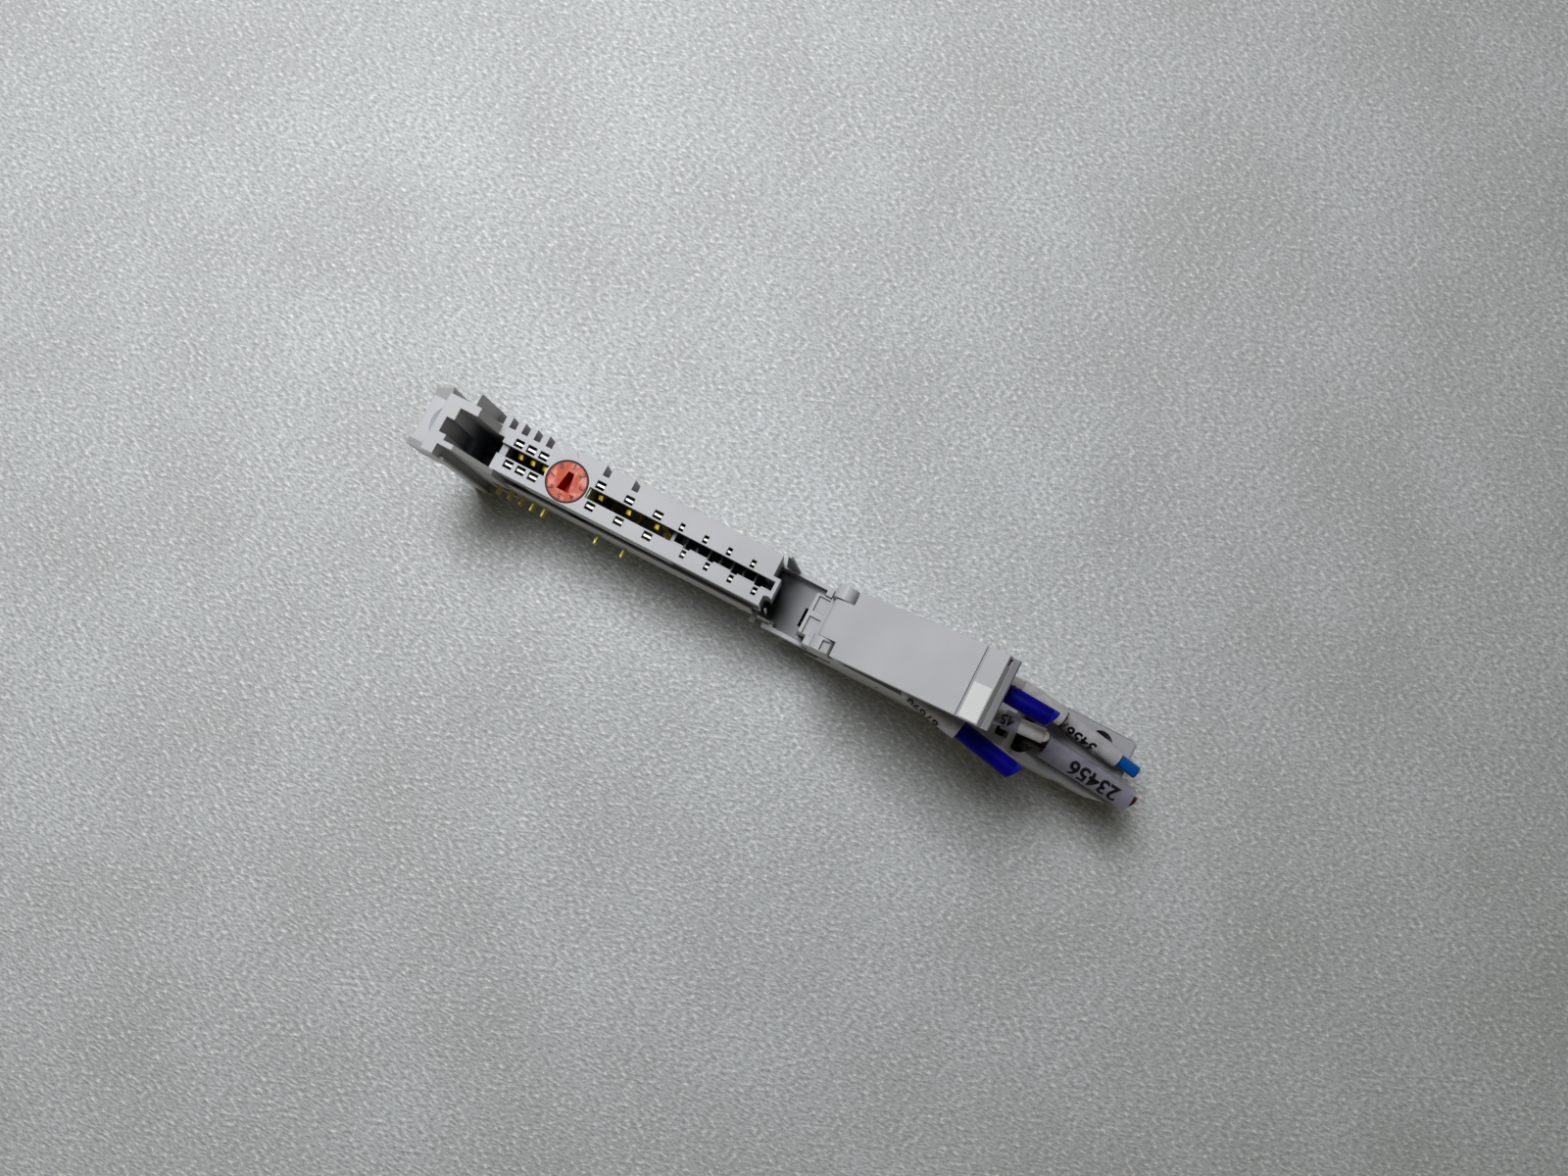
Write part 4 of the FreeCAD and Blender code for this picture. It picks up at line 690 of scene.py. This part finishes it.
def spline_points(points):
    """Places along a route's smooth spline, as Blender draws it."""
    bare = route_curve("bare_route", points, 0.0)
    mesh = bpy.data.meshes.new_from_object(bare)
    places = [v.co.copy() for v in mesh.vertices]
    bpy.data.objects.remove(bare)
    bpy.data.meshes.remove(mesh)
    return places


def tube_along(name, places, outer, inner, shader, sides=24):
    """Hollow tube along a line of places."""
    points, faces = [], []
    for i, place in enumerate(places):
        before, after = places[max(i - 1, 0)], places[min(i + 1, len(places) - 1)]
        side, rise = across((after - before).normalized())
        for radius in (outer, inner):
            for k in range(sides):
                turn = 2 * math.pi * k / sides
                points.append(place + (side * math.cos(turn) + rise * math.sin(turn)) * radius)
    count = 2 * sides
    for k in range(sides):
        j = (k + 1) % sides
        for i in range(len(places) - 1):
            low, high = i * count, (i + 1) * count
            faces.append((low + k, low + j, high + j, high + k))
            faces.append((low + sides + j, low + sides + k, high + sides + k, high + sides + j))
        last = (len(places) - 1) * count
        faces.append((k, sides + k, sides + j, j))
        faces.append((last + j, last + sides + j, last + sides + k, last + k))
    return smooth(mesh_piece(name, points, faces, shader))


def round_tube(middle, along, radius, turn):
    """Way to lay flat figures round a tube, facing turn up from the far side."""
    side, rise = across(along)

    def on_tube(x, y):
        angle = turn + y / radius
        out = side * math.cos(angle) + rise * math.sin(angle)
        return middle - along * x + out * (radius + PROUD)

    return on_tube


def drawn_back(points, length):
    """Route with its end drawn back, to leave room for the sheared end."""
    last, before = Vector(points[-1]), Vector(points[-2])
    end = last - (last - before).normalized() * (length / MM)
    return points[:-1] + [tuple(end)]


# Cut ends in a lighter blue: the paler cut plastic, with a painted highlight along the cut
cut_blue_and_highlight = insulation("cut_blue_and_highlight", CUT_BLUE_AND_HIGHLIGHT, rough=0.24)
for name, route in ROUTES.items():
    points = drawn_back(route, SHEARED[name])
    piece = route_curve(f"free_wire_{name}", points, WIRE_R)
    piece.data.materials.append(wire_finish[name].material)
    rides(piece, "block")
    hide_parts(f"wire_{name}")
    tip, before = Vector(points[-1]) * MM, Vector(points[-2]) * MM
    along = (tip - before).normalized()
    extras = cut_end(name, tip, along, WIRE_R, CORE_R, cut_blue_and_highlight, CORD_SLANT[name], CUT_PAST)
    if name == "1_near":
        places = [p for p in spline_points(points) if SLEEVE_FROM < p.x < SLEEVE_TO]
        sleeve = tube_along("marker_tube_1_near", places, SLEEVE_OUT, SLEEVE_BORE, white_tube)
        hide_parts("sleeve_1_near")
        extras.append(sleeve)
        middle = len(places) // 2
        straight = (places[middle + 2] - places[middle - 2]).normalized()
        on_tube = round_tube(places[middle], straight, SLEEVE_OUT, CORD_FIGURE_TURN)
        extras.append(text_mesh("marker_number_1_near", CORD_FIGURES, CORD_FIGURE_SIZE, black_ink, on_tube))
    for extra in extras:
        rides(extra, "block")

# Ends of the short stubs: where each ends, and the place that its last run comes from
STUB_ENDS = {
    "2_near": ((82.2, -1.7, 27.8), (72.6, -2.3, 26.6)),
    "2_far": ((85.1, 3.05, 22.3), (73.9, 4.4, 23.0)),
    "3_near": ((102.9, -3.85, 16.3), (82.6, -2.0, 17.0)),
    "3_far": ((101.6, 0.96, 16.2), (82.9, 4.0, 16.8)),
}
# Sealed tip of the white stub: radius and distance past its end, in millimetres
DOME = [(0.95, -0.3), (0.95, 0.05), (0.88, 0.4), (0.66, 0.72), (0.36, 0.92), (0.1, 0.98)]
GREY_CORE_R, GREY_STRANDS_OUT = 0.8 * MM, 0.3 * MM
RED_R, RED_CORE_R = 1.1 * MM, 0.55 * MM
RED_SLANT, RED_PAST = 0.3, 0.4 * MM
# Figures on marker tubes: text, share of the run, tube radius and size in millimetres, turn in degrees
STUB_FIGURES = {
    "3_near": ("23456", 0.61, 2.15, 3.9, 108),
    "3_far": ("34567", 0.36, 1.65, 3.0, 138),
    "2_near": ("45", 0.34, 1.65, 2.3, 90),
    "2_far": ("56789", 0.3, 1.68, 2.4, 128),
}


def stub(name):
    """End place of a stub and the direction of its last run."""
    end, before = (Vector(p) * MM for p in STUB_ENDS[name])
    return end, (end - before).normalized()


end, along = stub("2_near")
# The sealed tip's whiter tone: the tip's own white, with a painted highlight
tip_white_and_highlight = insulation("tip_white_and_highlight", TIP_WHITE_AND_HIGHLIGHT, rough=0.14)
dome = [(radius * MM, distance * MM) for radius, distance in DOME]
rides(lathe("sealed_tip_2_near", end, along, dome, tip_white_and_highlight), "block")
end, along = stub("2_far")
for piece in strands("strand_2_far", end, along, GREY_CORE_R, GREY_STRANDS_OUT, 0.0):
    rides(piece, "block")
end, along = stub("3_near")
red_tip = insulation("red_tip", TIP_RED)
for piece in cut_end("3_near", end, along, RED_R, RED_CORE_R, red_tip, RED_SLANT, RED_PAST):
    rides(piece, "block")


def number_on(name, text, share, radius, size, turn):
    """Plain figures round a stub's marker tube, facing turn degrees up from the far side."""
    end, before = (Vector(p) * MM for p in STUB_ENDS[name])
    middle = before.lerp(end, share)
    on_tube = round_tube(middle, (end - before).normalized(), radius * MM, math.radians(turn))
    piece = text_mesh(f"marker_number_{name}", text, size * MM, black_ink, on_tube)
    rides(piece, "block")


for name, figures in STUB_FIGURES.items():
    number_on(name, *figures)


def scoop_slope():
    """Sloping wall of the finger grip's round scoop, down to the foot of the end post."""
    corners = ((SCOOP_WIDE, SCOOP_TOP), (SCOOP_NARROW, SCOOP_LOW), (SCOOP_WIDE, SCOOP_LOW))
    count = len(corners)
    points, faces = [], []
    for i in range(SCOOP_STEPS + 1):
        turn = math.radians(SCOOP_FROM + SCOOP_TURN * i / SCOOP_STEPS)
        for radius, level in corners:
            x = min(SCOOP_MIDDLE.x + radius * math.cos(turn), POST_X)
            points.append((x, SCOOP_MIDDLE.y + radius * math.sin(turn), level))
    for i in range(SCOOP_STEPS):
        low, high = count * i, count * (i + 1)
        for k in range(count):
            j = (k + 1) % count
            faces.append((low + k, low + j, high + j, high + k))
    last = count * SCOOP_STEPS
    faces += [(2, 1, 0), (last, last + 1, last + 2)]
    return smooth(mesh_piece("grip_scoop_slope", points, faces, housing))


rides(scoop_slope(), "base")


def floor():
    """Pale sheet under the object, with the fine dimples of packing foam, painted shade in the dimples and
    painted glints.
    """
    bpy.ops.mesh.primitive_plane_add(size=FLOOR_SIZE, location=(0, 0, FOOT_Z))
    sheet = bpy.context.object
    sheet.name = "floor"
    shader = Shader("pale_sheet")
    cells = shader.noise(FOAM_CELL, detail=2, place=shader.stretched((0.5, 1.0, 1.0), turn=0.9))
    patches = shader.noise(FOAM_PATCH, detail=3)
    base = shader.blend(shader.spread(patches, 0, 1), SHEET_DARK, SHEET)
    # Painted shade in the dimples, and painted glints on the foam's cells
    dimple_shade = shader.spread(cells, 0, 1, 0.3, 0.55)
    base = shader.blend(dimple_shade, shade(SHEET_DARK, 0.8), base)
    painted_glints = shader.spread(cells, 0, 1, 0.58, 0.7)
    shader.colour(shader.blend(painted_glints, base, PAINTED_GLINT))
    shader.rough(shader.spread(cells, 0.6, 0.35))
    shader.relief(cells, FOAM_DEPTH)
    sheet.data.materials.append(shader.material)


def area_light(name, place, look, size, power):
    """Soft square light."""
    data = bpy.data.lights.new(name, "AREA")
    data.size = size
    data.energy = power
    light = bpy.data.objects.new(name, data)
    light.location = place
    light.rotation_euler = (Vector(look) - Vector(place)).to_track_quat("-Z", "Y").to_euler()
    bpy.context.scene.collection.objects.link(light)


def soft_world(horizon, overhead):
    """Even soft light, brighter from the sides than from overhead."""
    world = bpy.data.worlds.new("studio")
    world.use_nodes = True
    tree = world.node_tree
    place = tree.nodes.new("ShaderNodeTexCoord")
    split = tree.nodes.new("ShaderNodeSeparateXYZ")
    share = tree.nodes.new("ShaderNodeMapRange")
    share.inputs["From Min"].default_value = ROOM_FADE_FROM
    share.inputs["From Max"].default_value = ROOM_FADE_TO
    share.inputs["To Min"].default_value = horizon
    share.inputs["To Max"].default_value = overhead
    tree.links.new(place.outputs["Generated"], split.inputs["Vector"])
    tree.links.new(split.outputs["Z"], share.inputs["Value"])
    back = tree.nodes["Background"]
    back.inputs["Color"].default_value = ROOM
    tree.links.new(share.outputs["Result"], back.inputs["Strength"])
    bpy.context.scene.world = world


def camera():
    """Camera of the photograph, turned about its own axis by the roll."""
    data = bpy.data.cameras.new("photo_camera")
    data.sensor_width = CAMERA_SENSOR
    data.lens = CAMERA_LENS
    data.clip_start = CAMERA_NEAREST
    back = (CAMERA_AT - CAMERA_LOOK).normalized()
    level = (Vector((0, 1, 0)) - back * back.y).normalized()
    upright = Matrix.Rotation(math.radians(CAMERA_ROLL), 3, back) @ level
    right = upright.cross(back)
    turn = Matrix((right, upright, back)).transposed()
    eye = bpy.data.objects.new("photo_camera", data)
    eye.matrix_world = Matrix.Translation(CAMERA_AT) @ turn.to_4x4()
    bpy.context.scene.collection.objects.link(eye)
    bpy.context.scene.camera = eye


floor()
area_light("key_light", LAMP_AT, LAMP_LOOK, LAMP_SIZE, LAMP_POWER)
soft_world(ROOM_SIDES, ROOM_OVERHEAD)
bpy.context.scene.view_settings.view_transform = "Standard"
bpy.context.scene.view_settings.look = "Medium High Contrast"
camera()
